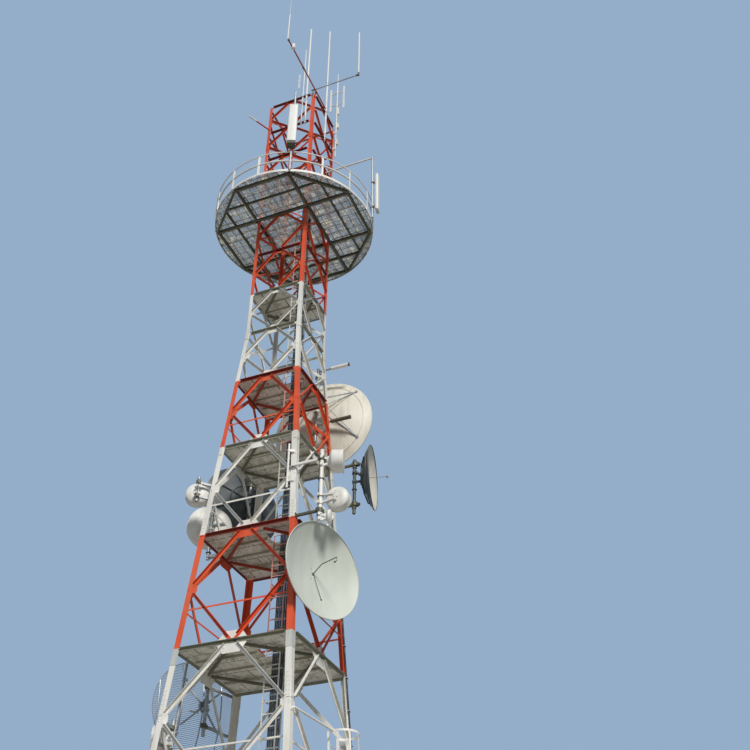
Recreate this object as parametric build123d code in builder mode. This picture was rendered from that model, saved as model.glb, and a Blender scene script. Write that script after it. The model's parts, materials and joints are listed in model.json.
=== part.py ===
"""Self-supporting lattice cell tower with its platforms, ladders, cables and antennas.

Millimetres, +Z up. The origin is the centre of the underside of the near right leg's base
plate. The tower stands square to X and Y, and its own axis is at (AXIS_X, AXIS_Y).
Faces: front is -Y, right is +X, back is +Y, left is -X.
"""
from build123d import *
from math import atan2, cos, degrees, hypot, radians, sin
import os

# Levels of the tower, from the ground to the top of the lattice
PANEL_HEIGHTS = [3950, 3600, 3300, 3000, 2700, 2300, 1800, 1550, 1650, 1650, 1450, 1450, 1450, 1450]
LEVELS = [sum(PANEL_HEIGHTS[:n]) for n in range(len(PANEL_HEIGHTS) + 1)]
LEVEL_Z = LEVELS[2]
LEVEL_A = LEVELS[3]
LEVEL_B = LEVELS[4]
LEVEL_C = LEVELS[5]
LEVEL_D = LEVELS[6]
LEVEL_E = LEVELS[8]
LEVEL_ROUND = LEVELS[10]
LEVEL_TOP = LEVELS[14]
KINK_PANEL = 7
KINK = LEVELS[KINK_PANEL]
LEG_STEP = LEVEL_C

# Plan of the lattice, over the outer corners of the legs
BASE_SIDE = 4445
TOP_SIDE = 1733
AXIS_X = -BASE_SIDE / 2
AXIS_Y = BASE_SIDE / 2
CORNERS = {"front_right": (1, -1), "back_right": (1, 1), "back_left": (-1, 1), "front_left": (-1, -1)}
FACES = {"front": 0, "right": 90, "back": 180, "left": 270}

# Leg angles: width and thickness, below LEG_STEP, up to the kink, and above it
LEG_LOW = (150, 14)
LEG_MID = (115, 14)
LEG_HIGH = (100, 10)
FIT_GAP = 0.3

# Bracing angles and gussets
BRACE_THICK = 8
BRACE_LOW = 80
BRACE_HIGH = 55
BRACE_STAND = 55
SUB_STRUT = 45
SUB_STRUT_SHARE = 0.32
SUB_STRUT_PANELS = (3, 4, 5)
GUSSET_LOW = 950
GUSSET_HIGH = 300
GUSSET_SHRINK = 1.6
GUSSET_TALL_SHARE = 0.75
LEG_PLATE_LOW = (280, 440)
LEG_PLATE_HIGH = (150, 200)
LEG_PLATE_EDGE = 50
LEG_CLEAR = 12
BASE_JOINT = 450
BASE_STRUT = 2150

# Feet
FOOT_SIDE = 420
FOOT_THICK = 30
FOOT_BOLT_SPACING = 300
FOOT_BOLT_HOLE = 34
FOOT_RIB_HEIGHT = 160
FOOT_RIB_THICK = 12

# Main ladder, cables and their rack, in plan from the tower's axis
LADDER_X = 590
LADDER_Y = -600
LADDER_WIDE = 360
LADDER_TOP = LEVEL_ROUND + 1100
RAIL_DEEP = 50
RAIL_THICK = 12
RUNG = 22
RUNG_PITCH = 280
CABLES = 7
CABLE = 34
CABLE_PITCH = 42
CABLE_Y = -345
CABLE_LOW = 300
RACK_BAR = 30
RACK_BAR_PITCH = 1400
RACK_Y = CABLE_Y + CABLE / 2 + FIT_GAP + RACK_BAR / 2

# Steel plate platforms, with a hatch that the ladder and the rack pass and lean on
PLATE = 8
JOIST_DEEP = 60
JOIST_THICK = 10
JOISTS = 3
PLAN_BEAM = 60
PLAN_BEAM_END = 60
FLOOR_CLEAR = 8
HATCH_LEFT = 250
HATCH_RIGHT = LADDER_X + LADDER_WIDE / 2 + RAIL_THICK / 2 + FIT_GAP
HATCH_FRONT = -780
HATCH_BACK = RACK_Y + RACK_BAR / 2 + FIT_GAP
HANDRAIL_HIGH = 1000
HANDRAIL = 34

# Round platform
OCTAGON = 2520
BEAM_WIDE = 70
BEAM_DEEP = 150
SECOND_WIDE = 50
SECOND_DEEP = 100
SECOND_AT = 1650
FLOOR_EDGE = 2560
FLOOR_RIM = 40
FLOOR_BAR = 25
FLOOR_PITCH = 270
FLOOR_THICK = 25
LEG_HOLE = 240
GUSSET_SLOT = 40
RING = 38
RING_SIDES = 48
RING_TURN = 180 / RING_SIDES
KICK_DEEP = 90
KICK_THICK = 8
RAIL_HEIGHT = 820
RAIL_MID = 420
POSTS = 16
POST = 44
RAIL_OUTER = FLOOR_EDGE + FIT_GAP + RING

# Brackets and mounting pipes
PAD = 12
ARM = 60
ARM_OUT = 45
COLLAR = 16
MOUNT_PIPE = 45
SIDE_PIPE = 28

# Caged ladder outside the right face
CAGE_Y = 430
CAGE_LADDER_WIDE = 500
CAGE_STANDOFF = 30
CAGE_RADIUS = 350
CAGE_TOP = 9100
CAGE_LOW = 2500
CAGE_HOOPS = 8
CAGE_HOOP = 50
CAGE_FLAT = 6
CAGE_STRAP = 40
CAGE_TIE = 44
CAGE_TIE_OUT = 200

# Dishes: place of the rim's centre from the axis, azimuth, radius and depth
FRONT_DISH = ((1930, -920, 12490), 339, 1190, 340)
BACK_DISH = ((550, 1700, 18600), 90, 1500, 400)
SIDE_DISH = ((2200, 1450, 16350), 14, 900, 260)
FAR_DISH = ((-1650, 1150, 16100), 150, 1200, 320)
GRID_DISH = ((-2200, 850, 10300), 150, 1200, 300)
DISH_LIP = 25
DISH_WALL = 10
GRID_SLOTS = 12
GRID_BAR = 50

# Drums: centre from the axis, azimuth, radius and length
DRUM_UPPER = ((2300, -1150, 15280), 20, 300, 360)
DRUM_LOWER = ((2350, -1130, 14200), 95, 300, 300)
DRUM_SMALL = ((2160, -1200, 13700), 20, 180, 110)
LEFT_SMALL = ((-1650, -1150, 15200), 122, 300, 300)
LEFT_BIG = ((-1850, -60, 14875), 130, 600, 350)
LEFT_LOW = ((-2000, -880, 9050), 205, 300, 300)
DRUM_HUB = 50

# Antennas at and above the round platform
PANEL_PIPE = 30
FRONT_PANEL = (300, 130, 1930)
RIGHT_PANEL = (260, 110, 1700)
PANEL_STANDOFF = 120


def half(z):
    """Half the side of the lattice at height z, over the legs' outer corners."""
    lean = (BASE_SIDE - TOP_SIDE) / 2 / KINK
    return max(TOP_SIDE / 2, BASE_SIDE / 2 - lean * z)


def at(x, y, z):
    """A point given from the tower's axis, in the part's own frame."""
    return Vector(AXIS_X + x, AXIS_Y + y, z)


def level_plane(z):
    """A horizontal plane at height z, centred on the tower's axis."""
    return Plane(origin=at(0, 0, z))


def save(piece, name):
    """Label a finished sub-part and write it to its own file."""
    piece.part.label = name
    export_step(piece.part, f"parts/{name}.step")


def rod(start, end, radius, mode=Mode.ADD):
    """A round bar from start to end."""
    run = end - start
    with BuildSketch(Plane(origin=start, z_dir=run)) as section:
        Circle(radius)
    extrude(section.sketch, amount=run.length, mode=mode)


def bar(start, end, wide, deep, up=(0, 0, 1)):
    """A rectangular bar from start to end, its depth turned to the direction up."""
    run = end - start
    side = run.cross(Vector(*up)).normalized()
    with BuildSketch(Plane(origin=start, x_dir=side, z_dir=run)) as section:
        Rectangle(wide, deep)
    extrude(section.sketch, amount=run.length)


def block(x, y, z, wide, deep, tall, mode=Mode.ADD):
    """A box centred in plan on a point given from the tower's axis, standing up from z."""
    with BuildSketch(Plane(origin=at(x, y, z))) as section:
        Rectangle(wide, deep)
    extrude(section.sketch, amount=tall, mode=mode)


def leg_outline(z, sign_x, sign_y, size):
    """The section of a leg angle at height z."""
    wide, thick = size
    corner = half(z)
    xs = [corner, corner - wide, corner - thick]
    points = [(xs[0], xs[0]), (xs[1], xs[0]), (xs[1], xs[2]), (xs[2], xs[2]), (xs[2], xs[1]), (xs[0], xs[1])]
    points = [(sign_x * x, sign_y * y) for x, y in points]
    with BuildSketch(level_plane(z)) as section:
        with BuildLine():
            Polyline(*points, close=True)
        make_face()
    return section.sketch.face()


def make_leg(name, sign_x, sign_y):
    """One leg: three lengths of angle, with its base plate and ribs."""
    corner = half(0)
    rib = FOOT_SIDE / 2 - FOOT_RIB_THICK
    with BuildPart() as leg:
        lengths = ((FOOT_THICK, LEG_STEP, LEG_LOW), (LEG_STEP, KINK, LEG_MID), (KINK, LEVEL_TOP, LEG_HIGH))
        for low, high, size in lengths:
            lean = half(high) - half(low)
            run = Vector(sign_x * lean, sign_y * lean, high - low)
            extrude(leg_outline(low, sign_x, sign_y, size), amount=run.length, dir=run)
        foot = Plane(origin=at(sign_x * corner, sign_y * corner, 0))
        with BuildSketch(foot):
            Rectangle(FOOT_SIDE, FOOT_SIDE)
        extrude(amount=FOOT_THICK)
        with BuildSketch(foot.offset(FOOT_THICK)):
            Rectangle(FOOT_RIB_THICK, 2 * rib)
            Rectangle(2 * rib, FOOT_RIB_THICK)
        extrude(amount=FOOT_RIB_HEIGHT)
        with BuildSketch(foot):
            with GridLocations(FOOT_BOLT_SPACING, FOOT_BOLT_SPACING, 2, 2):
                Circle(FOOT_BOLT_HOLE / 2)
        extrude(amount=FOOT_THICK, mode=Mode.SUBTRACT)
    save(leg, name)


def face_plane(turn, z):
    """The outer plane of one face of the lattice at height z, its foot level, and its rise per mm."""
    low, high = (0, KINK) if z < KINK else (KINK, LEVEL_TOP)
    drop = half(low) - half(high)
    slope = hypot(drop, high - low)
    out = Vector(0, -(high - low) / slope, drop / slope).rotate(Axis.Z, turn)
    across = Vector(1, 0, 0).rotate(Axis.Z, turn)
    foot = Vector(0, -half(low), 0).rotate(Axis.Z, turn)
    return Plane(origin=at(foot.X, foot.Y, low), x_dir=across, z_dir=out), low, (high - low) / slope


def strip(start, end, wide):
    """A straight band in the current sketch, from start to end."""
    run = end - start
    middle = (start + end) / 2
    with Locations(Location(middle, (0, 0, degrees(atan2(run.Y, run.X))))):
        Rectangle(run.length, wide)


def leg_joint(panel):
    """The height at which a panel's diagonals meet the legs."""
    return (LEVELS[panel] + LEVELS[panel + 1]) / 2 if panel else BASE_JOINT


def panel_bars(panel, low, rise, wide, reach):
    """The diagonals of one panel, each with the side its standing flange is on."""
    joint = leg_joint(panel)
    side = half(joint) - reach
    ends = ((LEVELS[panel], 1), (LEVELS[panel + 1], -1)) if panel else ((LEVELS[1], -1),)
    bars = []
    for sign in (-1, 1):
        for z, up in ends:
            start = Vector(sign * wide * 0.6, (z - low) / rise)
            end = Vector(sign * side, (joint - low) / rise - up * wide * 0.55)
            bars.append((start, end, sign * up))
    return bars


def gusset_wide(level):
    """The width of the gusset in the middle of a face, by the number of its level."""
    share = min(1, GUSSET_SHRINK * level / len(PANEL_HEIGHTS))
    return GUSSET_LOW + (GUSSET_HIGH - GUSSET_LOW) * share


def gusset(wide, tall):
    """A plate with cut corners in the current sketch."""
    rows = ((0.5, 0.15), (0.3, 0.5), (-0.3, 0.5), (-0.5, 0.15))
    corners = [(x * wide, y * tall) for x, y in rows]
    Polygon(*corners, *[(-x, -y) for x, y in corners], align=None)


def leg_plate(sign, edge, size):
    """A tapered plate in the current sketch, from its edge at a leg towards the middle of the face."""
    wide, tall = size
    rows = ((0, 0.5), (-0.5, 0.5), (-1, 0.2), (-1, -0.2), (-0.5, -0.5), (0, -0.5))
    Polygon(*[(sign * (edge + x * wide), y * tall) for x, y in rows], align=None)


def make_side(first, last):
    """The flat lattice of the front face, from panel first up to panel last."""
    low, high = LEVELS[first], LEVELS[last + 1]
    plane, _, rise = face_plane(0, low)
    upper = first >= KINK_PANEL
    wide = BRACE_HIGH if upper else BRACE_LOW
    leg_thick = LEG_HIGH[1] if upper else LEG_LOW[1]
    reach = leg_thick + BRACE_THICK + wide + LEG_CLEAR
    flats = plane.offset(-leg_thick * rise - FIT_GAP)
    diagonals, levels, struts = [], [], []
    for panel in range(first, last + 1):
        diagonals += panel_bars(panel, low, rise, wide, reach)
        side = half(LEVELS[panel + 1]) - reach
        height = (LEVELS[panel + 1] - low) / rise - wide / 2
        levels.append((Vector(-side, height), Vector(side, height)))
        if panel in SUB_STRUT_PANELS:
            z = LEVELS[panel] + SUB_STRUT_SHARE * PANEL_HEIGHTS[panel]
            side = half(z) - reach
            struts.append((Vector(-side, (z - low) / rise), Vector(side, (z - low) / rise)))
        if panel == 0:
            share = (LEVELS[1] - BASE_STRUT) / (LEVELS[1] - BASE_JOINT)
            for start, end, _ in diagonals:
                inner = start + (end - start) * share
                side = (half(BASE_STRUT) - reach) * (1 if inner.X > 0 else -1)
                struts.append((inner, Vector(side, inner.Y)))
    plate_size = LEG_PLATE_HIGH if upper else LEG_PLATE_LOW
    with BuildPart() as face:
        with BuildSketch(flats):
            for start, end, _ in diagonals:
                strip(start, end, wide)
            for start, end in levels:
                strip(start, end, wide)
            for start, end in struts:
                strip(start, end, SUB_STRUT)
            for level in range(max(first, 1), last + 2):
                with Locations((0, (LEVELS[level] - low) / rise - wide / 2)):
                    gusset(gusset_wide(level), gusset_wide(level) * GUSSET_TALL_SHARE)
            for panel in range(first, last + 1):
                joint = leg_joint(panel)
                with Locations((0, (joint - low) / rise)):
                    for sign in (-1, 1):
                        leg_plate(sign, half(joint) - LEG_PLATE_EDGE, plate_size)
            span = (high - low) / rise
            with Locations((0, span / 2 + FIT_GAP)):
                Rectangle(BASE_SIDE, span, mode=Mode.INTERSECT)
        extrude(amount=-BRACE_THICK)
        with BuildSketch(flats.offset(-BRACE_THICK)):
            for start, end, up in diagonals:
                run = (end - start).normalized()
                across = run.rotate(Axis.Z, 90 * up) * (wide - BRACE_THICK) / 2
                strip(start + across + run * 1.6 * wide, end + across - run * 0.5 * wide, BRACE_THICK)
            for start, end in levels:
                lift = Vector(0, (wide - BRACE_THICK) / 2)
                strip(start + lift, end + lift, BRACE_THICK)
        extrude(amount=-BRACE_STAND)
    return face.part


def copy_side(lattice, name, turn):
    """One face of the tower: the front lattice turned about the tower's axis."""
    with BuildPart() as face:
        with Locations(at(0, 0, 0)):
            add(lattice.moved(Location(-at(0, 0, 0))), rotation=(0, 0, turn))
    save(face, name)


def around_hatch(edge):
    """Left, right, front and back of the four panels of a floor that leaves the hatch open."""
    return (
        (-edge, edge, -edge, HATCH_FRONT),
        (-edge, edge, HATCH_BACK, edge),
        (-edge, HATCH_LEFT, HATCH_FRONT + FIT_GAP, HATCH_BACK - FIT_GAP),
        (HATCH_RIGHT, edge, HATCH_FRONT + FIT_GAP, HATCH_BACK - FIT_GAP),
    )


def oblong(left, right, front, back, mode=Mode.ADD):
    """A rectangle in the current sketch between four sides."""
    with Locations(((left + right) / 2, (front + back) / 2)):
        Rectangle(right - left, back - front, mode=mode)


def make_platform(name, level):
    """Plates on the horizontals of one level, on joists, on beams between the middles of the faces."""
    edge = half(level) - LEG_LOW[1] - BRACE_THICK - FLOOR_CLEAR / 2
    clear = half(level) - LEG_LOW[1] - BRACE_THICK - BRACE_LOW - FLOOR_CLEAR
    beam_top = level - JOIST_DEEP - FIT_GAP
    with BuildPart() as floor:
        with BuildSketch(level_plane(level + FIT_GAP)):
            for sides in around_hatch(edge):
                oblong(*sides)
        extrude(amount=PLATE)
        with BuildSketch(level_plane(level)):
            with GridLocations(0, 2 * clear / (JOISTS + 1), 1, JOISTS):
                Rectangle(2 * clear, JOIST_THICK)
            oblong(HATCH_LEFT, HATCH_RIGHT, HATCH_FRONT, HATCH_BACK, Mode.SUBTRACT)
        extrude(amount=-JOIST_DEEP)
        with BuildSketch(level_plane(beam_top)):
            for sign_x, sign_y in CORNERS.values():
                end = PLAN_BEAM_END
                if (sign_x, sign_y) == (1, -1):
                    end = max(end, HATCH_RIGHT - HATCH_FRONT + PLAN_BEAM - clear)
                if end < 2 * clear / (JOISTS + 1):
                    start = Vector(sign_x * end, sign_y * clear)
                    strip(start, Vector(sign_x * clear, sign_y * end), PLAN_BEAM)
        extrude(amount=-PLAN_BEAM)
    save(floor, name)


def face_pad(turn, along, z, wide, tall, proud=PAD):
    """A bracket plate flat against the outside of a leg, on one face of the tower."""
    plane, low, rise = face_plane(turn, z)
    with BuildSketch(plane.offset(FIT_GAP)) as section:
        with Locations((along, (z - low) / rise)):
            Rectangle(wide, tall)
    extrude(section.sketch, amount=proud)


def brace_pad(turn, along, z, wide, tall, proud):
    """A bracket block against the outside of the bracing, reaching out past the face by proud."""
    plane, low, rise = face_plane(turn, z)
    thick = LEG_LOW[1] if z < KINK else LEG_HIGH[1]
    with BuildSketch(plane.offset(-thick * rise)) as section:
        with Locations((along, (z - low) / rise)):
            Rectangle(wide, tall)
    extrude(section.sketch, amount=thick * rise + proud)


def leg_arm(turn, end, z, target, inset=75, size=ARM):
    """An arm from a pad on one leg's outside to a point; end is -1 or 1 along the face."""
    along = end * (half(z) - inset)
    face_pad(turn, along, z, 2 * ARM, 2 * ARM)
    foot = Vector(along, -half(z) - PAD / 2, 0).rotate(Axis.Z, turn)
    elbow = Vector(along, -half(z) - PAD - ARM_OUT, 0).rotate(Axis.Z, turn)
    bar(at(foot.X, foot.Y, z), at(elbow.X, elbow.Y, z), size, size)
    bar(at(elbow.X, elbow.Y, z), at(target[0], target[1], z), size, size)


def aim(azimuth):
    """The horizontal direction at an angle from +X."""
    return Vector(cos(radians(azimuth)), sin(radians(azimuth)), 0)


def turned(centre, azimuth, outline):
    """A solid of revolution about a level axis, from radius and axial pairs."""
    way = aim(azimuth)
    with BuildSketch(Plane(origin=centre, x_dir=(0, 0, 1), z_dir=Vector(0, 0, 1).cross(way))) as section:
        with BuildLine():
            Polyline(*outline, close=True)
        make_face()
    revolve(section.sketch, axis=Axis(centre, way))


def dish(centre, azimuth, radius, depth, lip, wall=10):
    """A thin curved dish with its rim centred at a point, open towards the azimuth."""
    shares = [1, 0.7, 0.35, 0]
    front = [(radius * n, -depth * (1 - n * n)) for n in shares]
    back = [(radius * n + (wall if n == 1 else 0), -depth * (1 - n * n) - wall) for n in shares]
    outline = [(radius, lip)] + front + back[::-1] + [(radius + wall, lip)]
    turned(centre, azimuth, outline)


def drum(centre, azimuth, radius, length, hub):
    """A closed drum antenna with a slightly domed front and a hub behind it."""
    rear, front = -length / 2, length / 2
    outline = [
        (0, front + radius * 0.06),
        (radius * 0.6, front + radius * 0.04),
        (radius, front),
        (radius, rear + radius * 0.25),
        (radius * 0.45, rear),
        (min(60, radius * 0.4), rear),
        (min(60, radius * 0.4), rear - hub),
        (0, rear - hub),
    ]
    turned(centre, azimuth, outline)


def collar(x, y, z, pipe, reach, tall=160):
    """A clamp round an upright pipe, with a block from it to the point reach."""
    block_start = at(x, y, z)
    with BuildSketch(Plane(origin=at(x, y, z - tall / 2))) as section:
        Circle(pipe + COLLAR)
    extrude(section.sketch, amount=tall)
    bar(block_start, reach, 1.4 * pipe, tall * 0.7)
    rod(at(x, y, z - tall), at(x, y, z + tall), pipe + FIT_GAP, mode=Mode.SUBTRACT)


os.makedirs("parts", exist_ok=True)

for corner, (sign_x, sign_y) in CORNERS.items():
    make_leg(f"leg_{corner}", sign_x, sign_y)

lower_lattice = make_side(0, KINK_PANEL - 1)
upper_lattice = make_side(KINK_PANEL, len(PANEL_HEIGHTS) - 1)
for side, turn in FACES.items():
    copy_side(lower_lattice, f"{side}_lower_bracing", turn)
    copy_side(upper_lattice, f"{side}_upper_bracing", turn)

for letter, level in zip("zabcde", (LEVEL_Z, LEVEL_A, LEVEL_B, LEVEL_C, LEVEL_D, LEVEL_E)):
    make_platform(f"platform_{letter}", level)

# Handrail of the lowest platform
rail_half = half(LEVEL_Z) - 2 * LEG_LOW[0]
with BuildPart() as handrail:
    for sign_x, sign_y in CORNERS.values():
        rail_low = LEVEL_Z + PLATE + 2 * FIT_GAP
        block(sign_x * rail_half, sign_y * rail_half, rail_low, HANDRAIL, HANDRAIL, HANDRAIL_HIGH)
    with BuildSketch(level_plane(LEVEL_Z + PLATE + HANDRAIL_HIGH - HANDRAIL)):
        Rectangle(2 * rail_half + HANDRAIL, 2 * rail_half + HANDRAIL)
        Rectangle(2 * rail_half - HANDRAIL, 2 * rail_half - HANDRAIL, mode=Mode.SUBTRACT)
    extrude(amount=HANDRAIL)
save(handrail, "platform_z_handrail")

# Main ladder
rungs = int((LADDER_TOP - 2 * RUNG_PITCH) / RUNG_PITCH)
with BuildPart() as ladder:
    for sign in (-1, 1):
        block(LADDER_X + sign * LADDER_WIDE / 2, LADDER_Y, RUNG_PITCH / 2, RAIL_THICK, RAIL_DEEP, LADDER_TOP)
    rung_end = at(LADDER_X - LADDER_WIDE / 2, LADDER_Y, 0)
    with BuildSketch(Plane(origin=rung_end, x_dir=(0, 1, 0), z_dir=(1, 0, 0))):
        for n in range(rungs):
            with Locations((0, (n + 1.5) * RUNG_PITCH)):
                Rectangle(RUNG, RUNG)
    extrude(amount=LADDER_WIDE)
save(ladder, "ladder")

# Cable rack and the cables on it
rack_half = CABLES * CABLE_PITCH / 2
with BuildPart() as rack:
    for sign in (-1, 1):
        block(LADDER_X + sign * rack_half, RACK_Y, CABLE_LOW, RACK_BAR, RACK_BAR, LADDER_TOP - CABLE_LOW)
    with BuildSketch(Plane(origin=at(LADDER_X - rack_half, RACK_Y, 0), x_dir=(0, 1, 0), z_dir=(1, 0, 0))):
        for n in range(int(LADDER_TOP / RACK_BAR_PITCH)):
            with Locations((0, CABLE_LOW + (n + 0.3) * RACK_BAR_PITCH)):
                Rectangle(RACK_BAR, RACK_BAR)
    extrude(amount=2 * rack_half)
save(rack, "cable_rack")

with BuildPart() as cables:
    with BuildSketch(Plane(origin=at(LADDER_X, CABLE_Y, CABLE_LOW))):
        with GridLocations(CABLE_PITCH, 0, CABLES, 1):
            Circle(CABLE / 2)
    extrude(amount=LADDER_TOP - 2 * CABLE_LOW)
save(cables, "cable_bundle")

# Round platform: beams beside the legs, second beams and the eight-sided edge
beam_at = half(LEVEL_ROUND) + BEAM_WIDE / 2 + FIT_GAP
with BuildPart() as frame:
    for deep, wide, offset in ((BEAM_DEEP, BEAM_WIDE, beam_at), (SECOND_DEEP, SECOND_WIDE, SECOND_AT)):
        with BuildSketch(level_plane(LEVEL_ROUND)):
            for sign in (-1, 1):
                with Locations((0, sign * offset)):
                    Rectangle(2 * OCTAGON, wide)
                with Locations((sign * offset, 0)):
                    Rectangle(wide, 2 * OCTAGON)
            RegularPolygon(OCTAGON - BEAM_WIDE / 2, 8, rotation=22.5, mode=Mode.INTERSECT)
        extrude(amount=-deep)
    with BuildSketch(level_plane(LEVEL_ROUND)):
        RegularPolygon(OCTAGON, 8, rotation=22.5)
        RegularPolygon(OCTAGON - BEAM_WIDE, 8, rotation=22.5, mode=Mode.SUBTRACT)
    extrude(amount=-BEAM_DEEP)
save(frame, "round_platform_frame")


def ring_outline(apothem, mode=Mode.ADD):
    """The many-sided outline that stands for a circle of the round platform."""
    RegularPolygon(apothem, RING_SIDES, major_radius=False, rotation=RING_TURN, mode=mode)


def grating(left, right, front, back):
    """One panel of the round platform's open grating, framed between four sides and the rim."""
    leg = half(LEVEL_ROUND)
    slot = gusset_wide(LEVELS.index(LEVEL_ROUND)) + GUSSET_SLOT
    bars = 2 * int(FLOOR_EDGE / FLOOR_PITCH) + 1
    with BuildSketch() as openings:
        oblong(left + FLOOR_BAR, right - FLOOR_BAR, front + FLOOR_BAR, back - FLOOR_BAR)
        ring_outline(FLOOR_EDGE - FLOOR_RIM, Mode.INTERSECT)
        with GridLocations(0, FLOOR_PITCH, 1, bars):
            Rectangle(2 * FLOOR_EDGE, FLOOR_BAR, mode=Mode.SUBTRACT)
        with GridLocations(FLOOR_PITCH, 0, bars, 1):
            Rectangle(FLOOR_BAR, 2 * FLOOR_EDGE, mode=Mode.SUBTRACT)
        with GridLocations(2 * leg, 2 * leg, 2, 2):
            Rectangle(LEG_HOLE, LEG_HOLE)
        with PolarLocations(leg - 2 * LEG_HIGH[1], 4):
            Rectangle(3 * LEG_HIGH[1], slot)
    with BuildSketch(level_plane(LEVEL_ROUND + FIT_GAP)) as panel:
        oblong(left, right, front, back)
        ring_outline(FLOOR_EDGE, Mode.INTERSECT)
        add(openings.sketch, mode=Mode.SUBTRACT)
    extrude(panel.sketch, amount=FLOOR_THICK)


with BuildPart() as round_floor:
    for sides in around_hatch(FLOOR_EDGE):
        grating(*sides)
save(round_floor, "round_platform_floor")

rail_foot = LEVEL_ROUND - KICK_DEEP / 2
with BuildPart() as railing:
    for z, deep, thick in (
        (rail_foot, KICK_DEEP, KICK_THICK),
        (LEVEL_ROUND + RAIL_MID, RING, RING),
        (LEVEL_ROUND + RAIL_HEIGHT, RING, RING),
    ):
        with BuildSketch(level_plane(z)):
            ring_outline(FLOOR_EDGE + FIT_GAP + thick)
            ring_outline(FLOOR_EDGE + FIT_GAP, Mode.SUBTRACT)
        extrude(amount=deep)
    with BuildSketch(level_plane(rail_foot)):
        with PolarLocations(FLOOR_EDGE + FIT_GAP + RING / 2, POSTS):
            Rectangle(RING, POST)
    extrude(amount=LEVEL_ROUND + RAIL_HEIGHT - rail_foot)
save(railing, "round_platform_railing")

# Caged ladder, parallel to the right face
right_face, _, right_rise = face_plane(90, 0)
cage_half = CAGE_LADDER_WIDE / 2
cage_tall = (CAGE_TOP - RUNG_PITCH) / right_rise
with BuildPart() as caged_ladder:
    with BuildSketch(right_face.offset(CAGE_STANDOFF)):
        for sign in (-1, 1):
            with Locations((CAGE_Y + sign * cage_half, RUNG_PITCH + cage_tall / 2)):
                Rectangle(RAIL_THICK, cage_tall)
    extrude(amount=RAIL_DEEP)
    with BuildSketch(right_face.offset(CAGE_STANDOFF + (RAIL_DEEP - RUNG) / 2)):
        for n in range(int(cage_tall / RUNG_PITCH)):
            with Locations((CAGE_Y, (n + 1.5) * RUNG_PITCH)):
                Rectangle(CAGE_LADDER_WIDE, RUNG)
    extrude(amount=RUNG)
    for level in (LEVELS[1], LEVEL_Z):
        for sign in (-1, 1):
            along = CAGE_Y + sign * cage_half
            brace_pad(90, along, level - BRACE_LOW / 2, ARM, BRACE_LOW, CAGE_STANDOFF + RAIL_THICK)
save(caged_ladder, "caged_ladder")

hoop_out = CAGE_STANDOFF + RAIL_DEEP + FIT_GAP
hoop_centre = hoop_out + (CAGE_RADIUS**2 - cage_half**2) ** 0.5
hoop_start = degrees(atan2(hoop_out - hoop_centre, cage_half)) - 1
hoop_angles = [hoop_start + n * (180 - 2 * hoop_start) / 12 for n in range(13)]
with BuildPart() as cage:
    for n in range(CAGE_HOOPS):
        height = (CAGE_LOW + n * (CAGE_TOP - CAGE_LOW) / (CAGE_HOOPS - 1)) / right_rise - CAGE_HOOP
        origin = right_face.from_local_coords(Vector(CAGE_Y, height, 0))
        with BuildSketch(Plane(origin=origin, x_dir=right_face.x_dir, z_dir=-right_face.y_dir)):
            with BuildLine():
                Polyline([
                    (CAGE_RADIUS * cos(radians(t)), hoop_centre + CAGE_RADIUS * sin(radians(t)))
                    for t in hoop_angles
                ])
            trace(line_width=CAGE_FLAT)
            with Locations((0, hoop_out + CAGE_RADIUS)):
                Rectangle(3 * CAGE_RADIUS, 2 * CAGE_RADIUS, mode=Mode.INTERSECT)
        extrude(amount=-CAGE_HOOP)
    foot = right_face.from_local_coords(Vector(CAGE_Y, CAGE_LOW / right_rise - CAGE_HOOP, 0))
    with BuildSketch(Plane(origin=foot, x_dir=right_face.x_dir, z_dir=-right_face.y_dir)):
        for t in hoop_angles[2:-2:2]:
            reach = CAGE_RADIUS - CAGE_FLAT / 2
            spot = (reach * cos(radians(t)), hoop_centre + reach * sin(radians(t)))
            with Locations(Location(spot, (0, 0, t))):
                Rectangle(CAGE_FLAT, CAGE_STRAP)
    extrude(amount=-(CAGE_TOP - CAGE_LOW) / right_rise)
    tie_z = CAGE_TOP - CAGE_HOOP / 2
    hoop_side = (CAGE_RADIUS**2 - (hoop_centre - CAGE_TIE_OUT) ** 2) ** 0.5
    tie_end = (half(tie_z) + CAGE_TIE_OUT, CAGE_Y - hoop_side)
    leg_arm(90, -1, tie_z, tie_end, size=CAGE_TIE)
save(cage, "ladder_cage")


def dish_back(place, azimuth, depth):
    """The middle of a dish's shell at its deepest point."""
    return at(*place) - aim(azimuth) * (depth + DISH_WALL / 2)


def save_dish(name, data, pipe, tall):
    """A dish with the clamp that holds it on its pipe."""
    place, azimuth, radius, depth = data
    with BuildPart() as shell:
        dish(at(*place), azimuth, radius, depth, DISH_LIP, DISH_WALL)
        collar(pipe[0], pipe[1], place[2], MOUNT_PIPE, dish_back(place, azimuth, depth), tall)
    save(shell, name)


def mount(name, pipe, low, high, arms, radius=MOUNT_PIPE):
    """An upright pipe carried by arms from a leg; arms are (turn, end, height)."""
    with BuildPart() as carrier:
        rod(at(*pipe, low), at(*pipe, high), radius)
        for turn, end, z in arms:
            leg_arm(turn, end, z, pipe)
    save(carrier, name)


# Front dish
front_pipe = (1520, -850)
save_dish("front_dish", FRONT_DISH, front_pipe, 300)
mount("front_dish_mount", front_pipe, 11650, 13400, [(90, -1, 11900), (90, -1, 13100)])

# Back dish
back_pipe = (550, 1140)
save_dish("back_dish", BACK_DISH, back_pipe, 400)
with BuildPart() as back_mount:
    rod(at(*back_pipe, 17750), at(*back_pipe, 20400), MOUNT_PIPE)
    for z in (18050, 19200, 20100):
        leg_arm(180, -1, z, back_pipe)
    for z, end in ((18350, 1640), (20300, 1560)):
        rod(at(*back_pipe, z), at(end, back_pipe[1], z), SIDE_PIPE)
save(back_mount, "back_dish_mount")

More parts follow.
